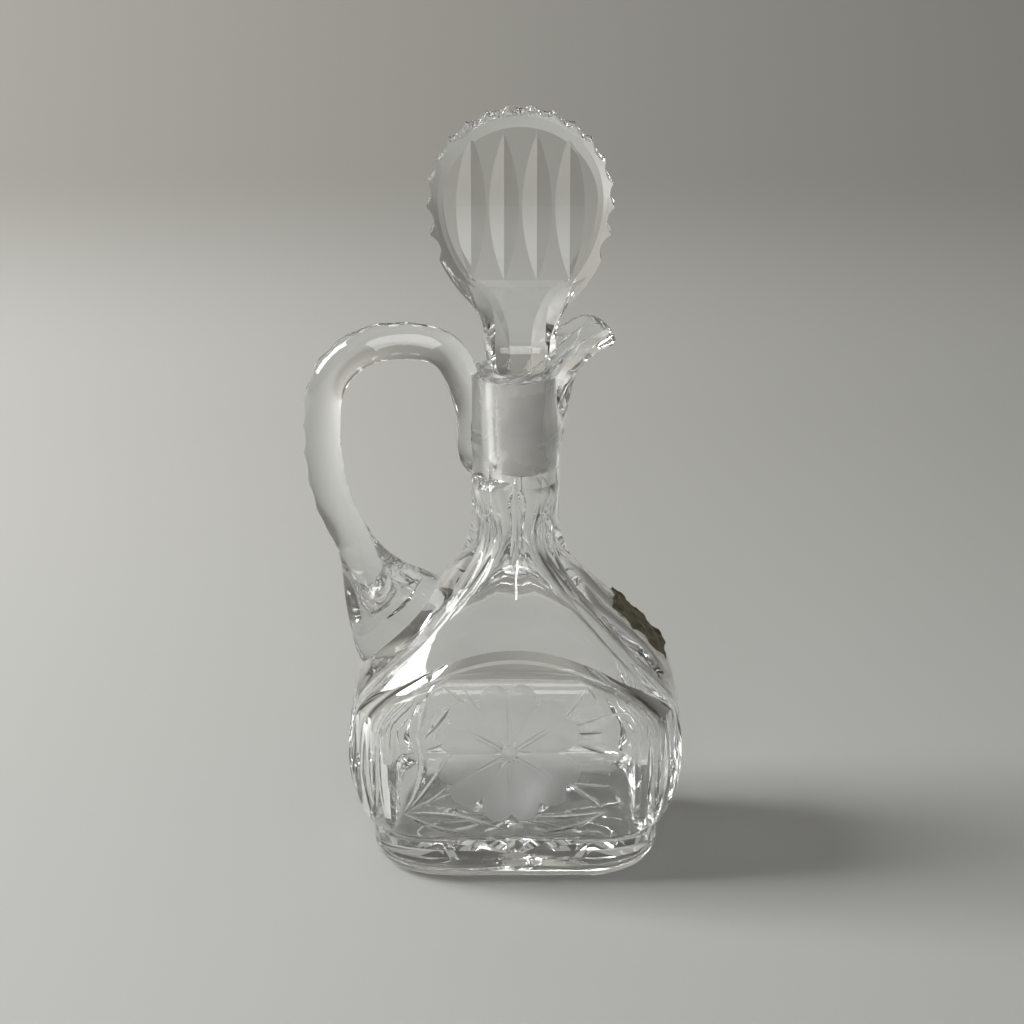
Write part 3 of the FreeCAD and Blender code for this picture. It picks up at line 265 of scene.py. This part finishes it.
# from, to, width, bow to the left of travel, ground matt
CUTS = (
    ((-26.2, 46.2), (-22.4, 60.4), 2.0, 0.9, False),
    ((-24.9, 45.3), (-17.6, 55.1), 1.7, -0.4, False),
    ((-24.6, 41.5), (-18.3, 44.0), 0.9, 0.0, False),
    ((-19.3, 41.4), (-15.4, 41.0), 0.6, 0.0, False),
    ((-27.3, 46.6), (-30.9, 22.3), 2.3, 3.4, False),
    ((-18.3, 39.8), (-30.4, 22.3), 1.6, 0.7, False),
    ((-18.6, 30.8), (-30.6, 22.3), 0.9, 1.0, False),
    ((-17.0, 28.4), (-30.6, 22.3), 0.9, -0.5, False),
    ((-30.9, 22.2), (-3.6, 17.4), 1.5, 1.6, False),
    ((-30.9, 22.2), (-13.5, 15.8), 1.3, -1.0, False),
    ((12.2, 48.6), (19.8, 59.4), 0.8, 0.0, True),
    ((20.0, 59.3), (22.3, 56.0), 0.8, 0.0, True),
    ((13.1, 47.4), (31.0, 52.6), 0.8, 0.4, True),
    ((14.8, 46.4), (24.0, 46.7), 1.3, 0.0, False),
    ((16.8, 43.5), (25.0, 40.4), 1.1, 0.0, False),
    ((11.2, 33.2), (24.6, 23.4), 1.3, 0.5, False),
    ((14.0, 31.4), (25.6, 30.6), 0.8, 0.0, True),
    ((25.6, 22.9), (5.0, 21.4), 1.2, 0.8, False),
    ((25.6, 22.9), (8.0, 16.4), 1.3, 1.0, False),
    ((-20.1, 60.3), (-12.2, 53.5), 0.7, 0.0, True),
    ((-14.5, 60.3), (-10.0, 52.3), 0.7, 0.0, True),
)
MITRE, CUT_END, CUT_POINT = 0.62, 0.04, 0.7
print("plan:", 2 * len(PETALS), "petal strokes and", len(CUTS), "cuts")

# %% [markdown]
# Two wheels make the marks. A round-edged one leaves a dished stroke, deepest along its middle
# line. A V-edged one leaves a groove that gets deeper where it gets wider. Each mark gives its
# depth and how far away its outline is. Where two marks cross, the deeper one stays.


# %% Wheel marks
def stroke(spots, turn):
    """Depth and signed outline distance of one dished stroke that leaves the flower's middle."""
    way = np.array((np.cos(np.radians(turn)), np.sin(np.radians(turn))))
    along = (spots - FLOWER) @ way
    side = np.abs((spots - FLOWER) @ np.array((-way[1], way[0])))
    t = np.clip((along - STROKE_START) / (STROKE_END - STROKE_START), 0, STROKE_LAST)
    swell = np.sin(np.pi / 2 * np.clip(t / STROKE_PEAK, STROKE_NARROW, 1))
    grow = STROKE_HALF * swell ** STROKE_BELLY
    tip = np.clip((t - STROKE_PEAK) / (1 - STROKE_PEAK), 0, None)
    inside = np.hypot(tip, side / grow)
    edge = (inside - 1) * np.minimum(grow, STROKE_HALF)
    edge = np.where(along < STROKE_START, np.hypot(along - STROKE_START, side), edge)
    dip = PETAL_SHALLOW + (1 - PETAL_SHALLOW) * np.clip(t, 0, 1)
    deep = PETAL_DEPTH * dip * (1 - inside ** 2)
    return np.where(edge < 0, deep, 0), edge


def groove(spots, start, end, width, bow):
    """Depth and signed outline distance of a V-shaped cut, widest in its middle."""
    start, end = np.array(start), np.array(end)
    length = np.linalg.norm(end - start)
    way = (end - start) / length
    along = (spots - start) @ way / length
    t = np.clip(along, 0, 1)
    side = (spots - start) @ np.array((-way[1], way[0])) - bow * 4 * t * (1 - t)
    half = width / 2 * np.sin(np.pi * (CUT_END + (1 - 2 * CUT_END) * t)) ** CUT_POINT
    away = np.hypot(side, (along - t) * length)
    edge = away - half
    return MITRE * np.clip(-edge, 0, None), edge


def engraving(spots):
    """At each spot: how deep the wheels cut, how far the matt outline is, and the nearest mark."""
    depth = np.zeros(len(spots))
    matt = np.full(len(spots), NO_MARK)
    mark = np.full(len(spots), NO_MARK)
    marks = [(*stroke(spots, turn + hand * STROKE_TURN), True)
             for turn in PETALS for hand in (-1, 1)]
    for turn in PETALS:
        way = np.array((np.cos(np.radians(turn)), np.sin(np.radians(turn))))
        off = np.array((-way[1], way[0])) * VEIN_APART
        for hand in (-1, 1):
            start = FLOWER + VEIN_FROM * way + hand * off
            end = FLOWER + VEIN_TO * way + hand * off
            deep, edge = groove(spots, start, end, VEIN_WIDTH, 0.0)
            marks.append((deep + np.where(edge < 0, VEIN_DEPTH, 0), edge, True))
    heart = np.linalg.norm(spots - FLOWER, axis=1) - HEART
    dish = HEART_RISE * (1 - ((heart + HEART) / HEART) ** 2) + HEART_RIM
    marks.append((np.where(heart < 0, dish, 0), heart, True))
    for start, end, width, bow, ground in CUTS:
        marks.append((*groove(spots, start, end, width, bow), ground))
    for deep, edge, ground in marks:
        depth = np.maximum(depth, deep)
        mark = np.minimum(mark, np.abs(edge))
        if ground:
            matt = np.minimum(matt, edge)
    return depth, matt, mark


print("cut at the flower's middle:", round(float(engraving(FLOWER[None])[0][0]), 2), "mm")

# %% [markdown]
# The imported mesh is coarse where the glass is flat, and a wheel cut needs fine triangles. Every
# edge near a mark is halved until it is short enough. Neighbours share the new points, so no
# crack opens, and each corner keeps the smooth normal of the glass it lies on.

# %% Finer triangles
MOST_PASSES = 16
# a triangle has corners a, b and c, and p, q and r are the middles of its edges ab, bc and ca
SPLITS = {1: ("apc", "pbc"), 2: ("pbq", "apq", "aqc"), 3: ("apr", "pbq", "rqc", "pqr")}


def halve_edges(points, faces, normals, chooser, spacing):
    """One pass of splitting. Returns the new points, triangles and corner normals, or None."""
    pairs = np.sort(np.stack([faces, np.roll(faces, -1, axis=1)], axis=2), axis=2)
    keys, sides = np.unique(pairs[:, :, 0] * len(points) + pairs[:, :, 1], return_inverse=True)
    edges = np.stack([keys // len(points), keys % len(points)], axis=1)
    sides = sides.reshape(-1, 3)
    chosen = np.unique(sides[chooser(points, faces, normals)])
    ends = points[edges[chosen]]
    middle = ends.mean(axis=1)
    long = np.linalg.norm(ends[:, 0] - ends[:, 1], axis=1) > spacing(middle)
    if not long.any():
        return None
    fresh = np.full(len(edges), -1)
    fresh[chosen[long]] = len(points) + np.arange(long.sum())
    points = np.vstack([points, middle[long]])
    halved = fresh[sides] >= 0
    count = halved.sum(axis=1)
    made, leaning = [faces[count == 0]], [normals[count == 0]]
    for total in (1, 2, 3):
        some = np.flatnonzero(count == total)
        if total == 1:
            lead = np.argmax(halved[some], axis=1)
        else:
            lead = np.argmin(halved[some], axis=1) + 1
        order = (lead[:, None] + np.arange(3)) % 3
        v = np.take_along_axis(faces[some], order, axis=1)
        m = np.take_along_axis(fresh[sides[some]], order, axis=1)
        n = np.take_along_axis(normals[some], order[:, :, None], axis=1)
        k = n + np.roll(n, -1, axis=1)
        k /= np.linalg.norm(k, axis=2, keepdims=True)
        corner = {"a": (v[:, 0], n[:, 0]), "b": (v[:, 1], n[:, 1]), "c": (v[:, 2], n[:, 2]),
                  "p": (m[:, 0], k[:, 0]), "q": (m[:, 1], k[:, 1]), "r": (m[:, 2], k[:, 2])}
        for trio in SPLITS[total]:
            made.append(np.stack([corner[letter][0] for letter in trio], axis=1))
            leaning.append(np.stack([corner[letter][1] for letter in trio], axis=1))
    return points, np.vstack(made), np.vstack(leaning)


def refine(points, faces, normals, chooser, spacing):
    """Split again and again, until every chosen edge is short enough."""
    for _ in range(MOST_PASSES):
        finer = halve_edges(points, faces, normals, chooser, spacing)
        if finer is None:
            break
        points, faces, normals = finer
    return points, faces, normals


print("edges are halved at most", MOST_PASSES, "times")

# %% [markdown]
# The parts come as meshes in metres. They are read into plain arrays in millimetres, worked on,
# and written back with their own corner normals, so that the glass stays smooth across the new
# triangles.

# %% Read and write meshes
WELD = 1e4  # points that agree to a ten-thousandth of a millimetre are one


def read_mesh(mesh):
    """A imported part's points in millimetres, its triangles and its corner normals."""
    mesh.calc_loop_triangles()
    points = np.empty(len(mesh.vertices) * 3)
    mesh.vertices.foreach_get("co", points)
    faces = np.empty(len(mesh.loop_triangles) * 3, dtype=int)
    mesh.loop_triangles.foreach_get("vertices", faces)
    loops = np.empty(len(mesh.loop_triangles) * 3, dtype=int)
    mesh.loop_triangles.foreach_get("loops", loops)
    normals = np.empty(len(mesh.loops) * 3)
    mesh.corner_normals.foreach_get("vector", normals)
    points = points.reshape(-1, 3) / MM
    keys, back = np.unique(np.round(points * WELD).astype(int), axis=0, return_inverse=True)
    merged = np.empty((len(keys), 3))
    merged[back.ravel()] = points
    faces = back.ravel()[faces].reshape(-1, 3)
    normals = normals.reshape(-1, 3)[loops].reshape(-1, 3, 3)
    whole = (faces != np.roll(faces, 1, axis=1)).all(axis=1)
    return merged, faces[whole], normals[whole]


def write_mesh(name, points, faces, normals, slot):
    """A new object from triangles with their own corner normals."""
    mesh = bpy.data.meshes.new(name)
    mesh.from_pydata((points * MM).tolist(), [], faces.tolist())
    mesh.shade_smooth()
    mesh.normals_split_custom_set(normals.reshape(-1, 3).tolist())
    piece = bpy.data.objects.new(name, mesh)
    scene.collection.objects.link(piece)
    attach(piece, "root")
    return piece


points, faces, normals = read_mesh(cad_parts["carafe"].data)
print("packed carafe:", len(faces), "triangles")

# %% [markdown]
# Now the wheels touch the glass. The front triangles are split close to the marks, their points
# are pressed in by the depth of the cut, and their normals lean with its slope, so light breaks
# on the cut as it does on a ground hollow.

# %% Engrave the belt
FINE, COARSE, GROWTH = 0.37, 2.5, 0.65
FRONT_LEAN, FRONT_PLANE, FRONT_FOOT = -0.75, -30.5, 14.6
ENGRAVE_STEP = 0.1


def front_faces(points, faces, normals):
    """The triangles of the belt's front, which is where the wheels touch."""
    middle = points[faces].mean(axis=1)
    facing = normals[:, :, 1].max(axis=1) < FRONT_LEAN
    return facing & (middle[:, 1] < FRONT_PLANE) & (middle[:, 2] > FRONT_FOOT)


def mark_spacing(spots):
    """The longest edge that is fine enough at each spot of the engraved face."""
    return np.clip(engraving(spots[:, [0, 2]])[2] * GROWTH, FINE, COARSE)


def ways_out(faces, normals, chosen, count):
    """The chosen triangles' points, and at each the direction that leads out of the glass."""
    outward = np.zeros((count, 3))
    np.add.at(outward, faces[chosen].ravel(), normals[chosen].reshape(-1, 3))
    moved = np.unique(faces[chosen])
    return moved, outward[moved] / np.linalg.norm(outward[moved], axis=1, keepdims=True)


def engrave(points, faces, normals):
    """Press the marks into the front. Returns each point's distance from the matt outline."""
    front = front_faces(points, faces, normals)
    spots = points[faces[front]][:, :, [0, 2]]
    touched, outward = ways_out(faces, normals, front, len(points))
    leaning = normals[front].copy()
    for axis, shift in ((0, (ENGRAVE_STEP, 0)), (2, (0, ENGRAVE_STEP))):
        ahead = engraving((spots + shift).reshape(-1, 2))[0]
        behind = engraving((spots - shift).reshape(-1, 2))[0]
        leaning[:, :, axis] += ((ahead - behind) / (2 * ENGRAVE_STEP)).reshape(-1, 3)
    normals[front] = leaning / np.linalg.norm(leaning, axis=2, keepdims=True)
    depth, matt, _ = engraving(points[touched][:, [0, 2]])
    points[touched] -= outward * depth[:, None]
    outline = np.full(len(points), NO_MARK)
    outline[touched] = matt
    print("engraved", len(touched), "points, deepest mark", round(depth.max(), 2), "mm")
    return outline


points, faces, normals = refine(points, faces, normals, front_faces, mark_spacing)
outline = engrave(points, faces, normals)

# %% [markdown]
# The neck is cut with eight shallow upright flutes, with a ridge at the front. They start under
# the plug and run out where the bell begins. Their light and dark edges are what makes a cut
# neck sparkle.

# %% Flute the neck
NECK_MIDDLE, FLUTES, FLUTE_DEPTH = 1.4, 8, 0.42
NECK_LOW, NECK_HIGH, NECK_REACH = 72, 111.5, 22
FLUTE_TOP, FLUTE_RUN_IN, FLUTE_FOOT, FLUTE_RUN_OUT = 110.5, 5, 74, 14
FLUTE_SPACING, FLUTE_STEP = 1.1, 0.05
LEAST_FACING = 0.2


def neck_faces(points, faces, normals):
    """The triangles on the outside of the neck, between the plug and the bell."""
    middle = points[faces].mean(axis=1) - (NECK_MIDDLE, 0, 0)
    reach = np.hypot(middle[:, 0], middle[:, 1])
    faced = (normals.mean(axis=1)[:, :2] * middle[:, :2]).sum(axis=1) / reach
    inside = (middle[:, 2] > NECK_LOW) & (middle[:, 2] < NECK_HIGH) & (reach < NECK_REACH)
    return inside & (faced > LEAST_FACING)


def flute_depth(spots):
    """How deep the flutes are at each spot, in millimetres."""
    turn = np.arctan2(spots[:, 1], spots[:, 0] - NECK_MIDDLE) + math.pi / 2
    across = np.abs((turn * FLUTES / (2 * math.pi)) % 1.0 * 2 - 1)
    start = np.clip((FLUTE_TOP - spots[:, 2]) / FLUTE_RUN_IN, 0, 1)
    end = np.clip((spots[:, 2] - FLUTE_FOOT) / FLUTE_RUN_OUT, 0, 1)
    fade = start * start * (3 - 2 * start) * end * end * (3 - 2 * end)
    return FLUTE_DEPTH * fade * (1 - across ** 2)


def flute_spacing(spots):
    """The longest edge that is fine enough for the flutes."""
    return np.full(len(spots), FLUTE_SPACING)


def flute_neck(points, faces, normals):
    """Press the flutes into the neck and lean its normals along them."""
    chosen = neck_faces(points, faces, normals)
    spots = points[faces[chosen]].reshape(-1, 3)
    slope = np.stack([(flute_depth(spots + shift) - flute_depth(spots - shift)) / (2 * FLUTE_STEP)
                      for shift in np.eye(3) * FLUTE_STEP], axis=1)
    moved, outward = ways_out(faces, normals, chosen, len(points))
    lean = normals[chosen].reshape(-1, 3)
    slope -= lean * (slope * lean).sum(axis=1, keepdims=True)
    lean = lean + slope
    normals[chosen] = (lean / np.linalg.norm(lean, axis=1, keepdims=True)).reshape(-1, 3, 3)
    points[moved] -= outward * flute_depth(points[moved])[:, None]


points, faces, normals = refine(points, faces, normals, neck_faces, flute_spacing)
outline = np.concatenate([outline, np.full(len(points) - len(outline), NO_MARK)])
flute_neck(points, faces, normals)
carafe = write_mesh("CarafeGlass", points, faces, normals, "crystal")
carafe.data.attributes.new("matt_edge", "FLOAT", "POINT").data.foreach_set("value", outline)
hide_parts("carafe")
print("carafe glass:", len(faces), "triangles")

# %% [markdown]
# ## Three kinds of glass surface
#
# Fire-polished glass is never quite flat: it carries slow waves that bend what is seen through
# it. The stopper's plug and its seat in the neck were ground together with emery, so they
# scatter light and look white. The engraving was cut on small wheels and left matt. Two node
# groups hold these effects, and each material sets its own amounts.


# %% Slow waves
def new_group(name, inputs, outputs):
    """A shader node group with named sockets. Each input comes with its starting value."""
    group = bpy.data.node_groups.new(name, "ShaderNodeTree")
    for label, value in inputs:
        socket = group.interface.new_socket(label, in_out="INPUT", socket_type="NodeSocketFloat")
        socket.default_value = value
    for label, kind in outputs:
        group.interface.new_socket(label, in_out="OUTPUT", socket_type="NodeSocket" + kind)
    return group, group.nodes.new("NodeGroupInput"), group.nodes.new("NodeGroupOutput")


def ripple_group():
    """Slow waves of fire-polished or hand-polished glass, as a normal."""
    group, given, out = new_group(
        "Ripple", (("Size", 60.0), ("Height", 0.0001)), (("Normal", "Vector"),))
    where = node(group, "TexCoord")
    waves = node(group, "TexNoise", Detail=1.0, Roughness=0.4)
    bump = node(group, "Bump", Strength=1.0)
    group.links.new(where.outputs["Object"], waves.inputs["Vector"])
    group.links.new(given.outputs["Size"], waves.inputs["Scale"])
    group.links.new(given.outputs["Height"], bump.inputs["Distance"])
    group.links.new(waves.outputs["Fac"], bump.inputs["Height"])
    group.links.new(bump.outputs["Normal"], out.inputs["Normal"])
    return group


ripple = ripple_group()
print("group:", ripple.name)

# %% [markdown]
# Emery leaves a fine even grain. Where hands and the stopper have rubbed, the grain has worn
# smooth in cloudy patches, so the roughness drifts between a smooth and a rough amount.


# %% Ground grain
def grain_group():
    """Emery grain: a fine frosting that wears smooth in cloudy patches."""
    group, given, out = new_group(
        "GroundGrain", (("Smooth", 0.3), ("Rough", 0.6), ("Patch Size", 90.0), ("Depth", 0.00003)),
        (("Roughness", "Float"), ("Wear", "Float"), ("Normal", "Vector")))
    where = node(group, "TexCoord")
    patch = node(group, "TexNoise", Detail=3.0, Roughness=0.55)
    spread = node(group, "MapRange", interpolation_type="SMOOTHSTEP", From_Min=0.25, From_Max=0.75)
    level = node(group, "MapRange")
    grain = node(group, "TexNoise", Scale=2600.0, Detail=2.0)
    bump = node(group, "Bump", Strength=1.0)
    for texture in (patch, grain):
        group.links.new(where.outputs["Object"], texture.inputs["Vector"])
    group.links.new(given.outputs["Patch Size"], patch.inputs["Scale"])
    group.links.new(patch.outputs["Fac"], spread.inputs["Value"])
    group.links.new(spread.outputs["Result"], level.inputs["Value"])
    group.links.new(given.outputs["Rough"], level.inputs["To Min"])
    group.links.new(given.outputs["Smooth"], level.inputs["To Max"])
    group.links.new(given.outputs["Depth"], bump.inputs["Distance"])
    group.links.new(grain.outputs["Fac"], bump.inputs["Height"])
    group.links.new(level.outputs["Result"], out.inputs["Roughness"])
    group.links.new(spread.outputs["Result"], out.inputs["Wear"])
    group.links.new(bump.outputs["Normal"], out.inputs["Normal"])
    return group


grain = grain_group()
print("group:", grain.name)

# %% [markdown]
# Each material places a group and gives it its own amounts. Clear glass passes all light and
# bends it by the same index everywhere. Inside the engraving's outline it turns rough over a
# hair's width.

# %% Glass materials
GLASS_INDEX = 1.54
OUTLINE_BLUR = 0.04


def placed(tree, group, **values):
    """A group placed in a material, with that material's own values."""
    made = tree.nodes.new("ShaderNodeGroup")
    made.node_tree = group
    for name, value in values.items():
        made.inputs[name.replace("_", " ")].default_value = value
    return made


def polished(name, size, height, engraved):
    """Clear crystal. Where it is engraved, the emery grain takes over inside the outline."""
    material, tree = new_material(name)
    shader = node(tree, "BsdfPrincipled", Base_Color=(0.985, 0.99, 0.985, 1), Roughness=0.0,
                  IOR=GLASS_INDEX)
    shader.inputs["Transmission Weight"].default_value = 1.0
    waves = placed(tree, ripple, Size=size, Height=height)
    tree.links.new(waves.outputs["Normal"], shader.inputs["Normal"])
    use_shader(tree, shader)
    if engraved:
        frost = placed(tree, grain, Smooth=0.34, Rough=0.50, Patch_Size=220.0, Depth=0.0)
        mark = node(tree, "Attribute", attribute_name="matt_edge")
        fade = node(tree, "MapRange", From_Min=OUTLINE_BLUR, From_Max=-OUTLINE_BLUR)
        tree.links.new(mark.outputs["Fac"], fade.inputs["Value"])
        tree.links.new(frost.outputs["Roughness"], fade.inputs["To Max"])
        tree.links.new(fade.outputs["Result"], shader.inputs["Roughness"])
    return material


def frosted(name, transmission, smooth, rough):
    """Ground glass: part of the light passes, part is thrown back white."""
    material, tree = new_material(name)
    shader = node(tree, "BsdfPrincipled", IOR=GLASS_INDEX)
    shader.inputs["Transmission Weight"].default_value = transmission
    frost = placed(tree, grain, Smooth=smooth, Rough=rough, Patch_Size=95.0, Depth=0.00002)
    tone = blend(tree, (0.985, 0.975, 0.955), (0.86, 0.855, 0.84), frost.outputs["Wear"])
    tree.links.new(tone, shader.inputs["Base Color"])
    tree.links.new(frost.outputs["Roughness"], shader.inputs["Roughness"])
    tree.links.new(frost.outputs["Normal"], shader.inputs["Normal"])
    use_shader(tree, shader)
    return material


carafe_glass = polished("CarafeCrystal", 42.0, 0.00010, True)
stopper_glass = polished("StopperCrystal", 60.0, 0.00005, False)
seat_glass = frosted("GroundSeat", 0.90, 0.14, 0.34)
plug_glass = frosted("GroundPlug", 0.30, 0.30, 0.55)
print("glass:", *(m.name for m in (carafe_glass, stopper_glass, seat_glass, plug_glass)))

# %% [markdown]
# The seat is a round band inside the neck and the plug is the lower end of the stopper. Their
# faces are picked by how far they lie from the neck's middle and how high they are, in
# millimetres.

# %% Ground seat and plug
SEAT = {"reach": 8.2, "low": 113.0, "high": 140.5}
PLUG = {"reach": 12.0, "low": 100.0, "high": 141.0}


def ground_part(piece, clear, matt, reach, low, high):
    """Give a piece its clear material, and the matt one on faces in a round band of its height."""
    piece.data.materials.clear()
    piece.data.materials.append(clear)
    piece.data.materials.append(matt)
    count = len(piece.data.polygons)
    centres = np.empty(count * 3)
    piece.data.polygons.foreach_get("center", centres)
    x, y, z = centres.reshape(-1, 3).T / MM
    inside = (np.hypot(x - NECK_MIDDLE, y) < reach) & (z > low) & (z < high)
    piece.data.polygons.foreach_set("material_index", inside.astype(np.int32))
    piece.data.update()
    return int(inside.sum())


seat_faces = ground_part(carafe, carafe_glass, seat_glass, **SEAT)
stopper = write_mesh("StopperGlass", *read_mesh(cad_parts["stopper"].data), "stopper_crystal")
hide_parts("stopper")
plug_faces = ground_part(stopper, stopper_glass, plug_glass, **PLUG)
print("ground faces:", seat_faces, "in the neck,", plug_faces, "on the plug")

# %% [markdown]
# ## Foil label
#
# The little label is thin embossing foil with nothing printed on it. It was pressed over the
# shoulder by hand and has been lifting and creasing since, so it is built as a crumpled sheet
# that starts on the flat patch of the frame.

# %% Creased foil
FOIL_ROWS, FOIL_COLUMNS = 72, 60
FOIL_THICK, FOIL_EDGE, ABOVE = 0.22, 3.0, 12
FOLD_ANGLE = 32


def crease(u, v, turn, period, shift, sharp):
    """Sharp folds that run in one direction, from 0 in the valley to 1 on the fold."""
    along = u * math.cos(math.radians(turn)) + v * math.sin(math.radians(turn))
    wave = np.abs(((along / period + shift) % 1.0) * 2 - 1)
    return wave ** sharp


def foil_height(u, v, long, wide):
    """How far the foil stands off its flat patch, in millimetres."""
    rise = 0.10 + 0.34 * crease(u + 0.5 * np.sin(v * 0.9), v, 24, 6.6, 0.2, 1.6)
    rise += 0.26 * crease(u, v + 0.4 * np.sin(u * 1.1), -52, 5.1, 0.55, 1.5)
    rise += 0.14 * crease(u, v, 78, 2.9, 0.1, 1.3) + 0.08 * crease(u, v, -12, 1.7, 0.4, 1.2)
    rim = np.minimum(long / 2 - np.abs(u), wide / 2 - np.abs(v))
    lift = np.clip(1 - rim / FOIL_EDGE, 0, 1) ** 2
    return rise + lift * (0.45 + 0.40 * np.sin(u * 0.75 + 1.0) + 0.35 * np.sin(v * 0.8 - 0.6))


print("foil:", FOIL_THICK, "mm thick,", FOIL_ROWS * FOIL_COLUMNS, "small squares")

# %% [markdown]
# A ray is sent down onto the frame's patch from above each point of the sheet. Where it lands, the
# foil starts, and the creases lift it from there. The edges are a little ragged, as torn foil is.


# %% Foil sheet
def foil_sheet(patch):
    """The foil's upper points, laid over the frame's patch, and the way out of the glass."""
    corners = np.array([vertex.co for vertex in patch.data.vertices]) / MM
    low, high = corners.min(axis=0), corners.max(axis=0)
    down = np.array((high[0] - low[0], 0, low[2] - high[2]))
    long = np.linalg.norm(down)
    down /= long
    out = np.array((-down[2], 0, down[0]))
    wide = high[1] - low[1]
    polygons = [tuple(polygon.vertices) for polygon in patch.data.polygons]
    tree = BVHTree.FromPolygons([tuple(corner) for corner in corners], polygons)
    middle = (low + high) / 2
    rows = []
    for i in range(FOIL_ROWS + 1):
        for j in range(FOIL_COLUMNS + 1):
            u, v = (i / FOIL_ROWS - 0.5) * long, (j / FOIL_COLUMNS - 0.5) * wide
            ragged = 0.975 - 0.020 * math.sin(9 * v / wide + 2) - 0.016 * math.sin(31 * v / wide)
            torn = 0.970 - 0.022 * math.sin(8 * u / long) - 0.018 * math.sin(27 * u / long + 1)
            u, v = u * ragged, v * torn
            start = middle + down * u + np.array((0, v, 0)) + out * ABOVE
            spot = tree.ray_cast(Vector(start), Vector(-out))[0]
            rows.append((u, v, np.array(spot) if spot else start - out * ABOVE))
    u, v, base = (np.array([row[k] for row in rows]) for k in range(3))
    top = base + out * foil_height(u, v, long, wide)[:, None]
    return top, out


def foil_mesh(top, out):
    """A closed thin sheet: the upper points, the same points below, and a rim between them."""
    count, wide = len(top), FOIL_COLUMNS + 1
    corners = [i * wide + j for i in range(FOIL_ROWS) for j in range(FOIL_COLUMNS)]
    quads = [(a, a + 1, a + wide + 1, a + wide) for a in corners]
    rim = list(range(FOIL_COLUMNS))
    rim += [i * wide + FOIL_COLUMNS for i in range(FOIL_ROWS)]
    rim += [FOIL_ROWS * wide + j for j in range(FOIL_COLUMNS, 0, -1)]
    rim += [i * wide for i in range(FOIL_ROWS, 0, -1)]
    sides = [(rim[k], rim[k - 1], rim[k - 1] + count, rim[k] + count) for k in range(len(rim))]
    under = [tuple(index + count for index in reversed(quad)) for quad in quads]
    mesh = bpy.data.meshes.new("FoilLabel")
    sheet = np.vstack([top, top - out * FOIL_THICK]) * MM
    mesh.from_pydata(sheet.tolist(), [], quads + under + sides)
    mesh.validate()
    mesh.shade_smooth()
    mesh.set_sharp_from_angle(angle=math.radians(FOLD_ANGLE))
    return mesh


foil = bpy.data.objects.new("FoilLabel", foil_mesh(*foil_sheet(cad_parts["label"])))
scene.collection.objects.link(foil)
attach(foil, "root")
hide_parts("label")
print("foil:", len(foil.data.polygons), "faces")

# %% [markdown]
# Old brass foil is dull and brown, darker in cloudy patches, with small bright pits where the
# brown has rubbed off.


# %% Foil material
def dull_foil():
    """Tarnished foil with cloudy wear and bright pits."""
    dull, tree = new_material("DullGoldFoil")
    shader = node(tree, "BsdfPrincipled", Metallic=0.75)
    where = node(tree, "TexCoord")
    wear = placed(tree, grain, Smooth=0.30, Rough=0.62, Patch_Size=330.0, Depth=0.00003)
    tone = blend(tree, (0.36, 0.32, 0.215), (0.155, 0.135, 0.088), wear.outputs["Wear"])
    pits = node(tree, "TexVoronoi", Scale=1500.0)
    tree.links.new(where.outputs["Object"], pits.inputs["Vector"])
    tone = blend(tree, tone, (0.44, 0.40, 0.30), ramp(tree, pits.outputs["Distance"], 0.75, 0.95))
    tree.links.new(tone, shader.inputs["Base Color"])
    tree.links.new(wear.outputs["Roughness"], shader.inputs["Roughness"])
    tree.links.new(wear.outputs["Normal"], shader.inputs["Normal"])
    use_shader(tree, shader)
    return dull


foil.data.materials.append(dull_foil())
print("foil material:", foil.data.materials[0].name)
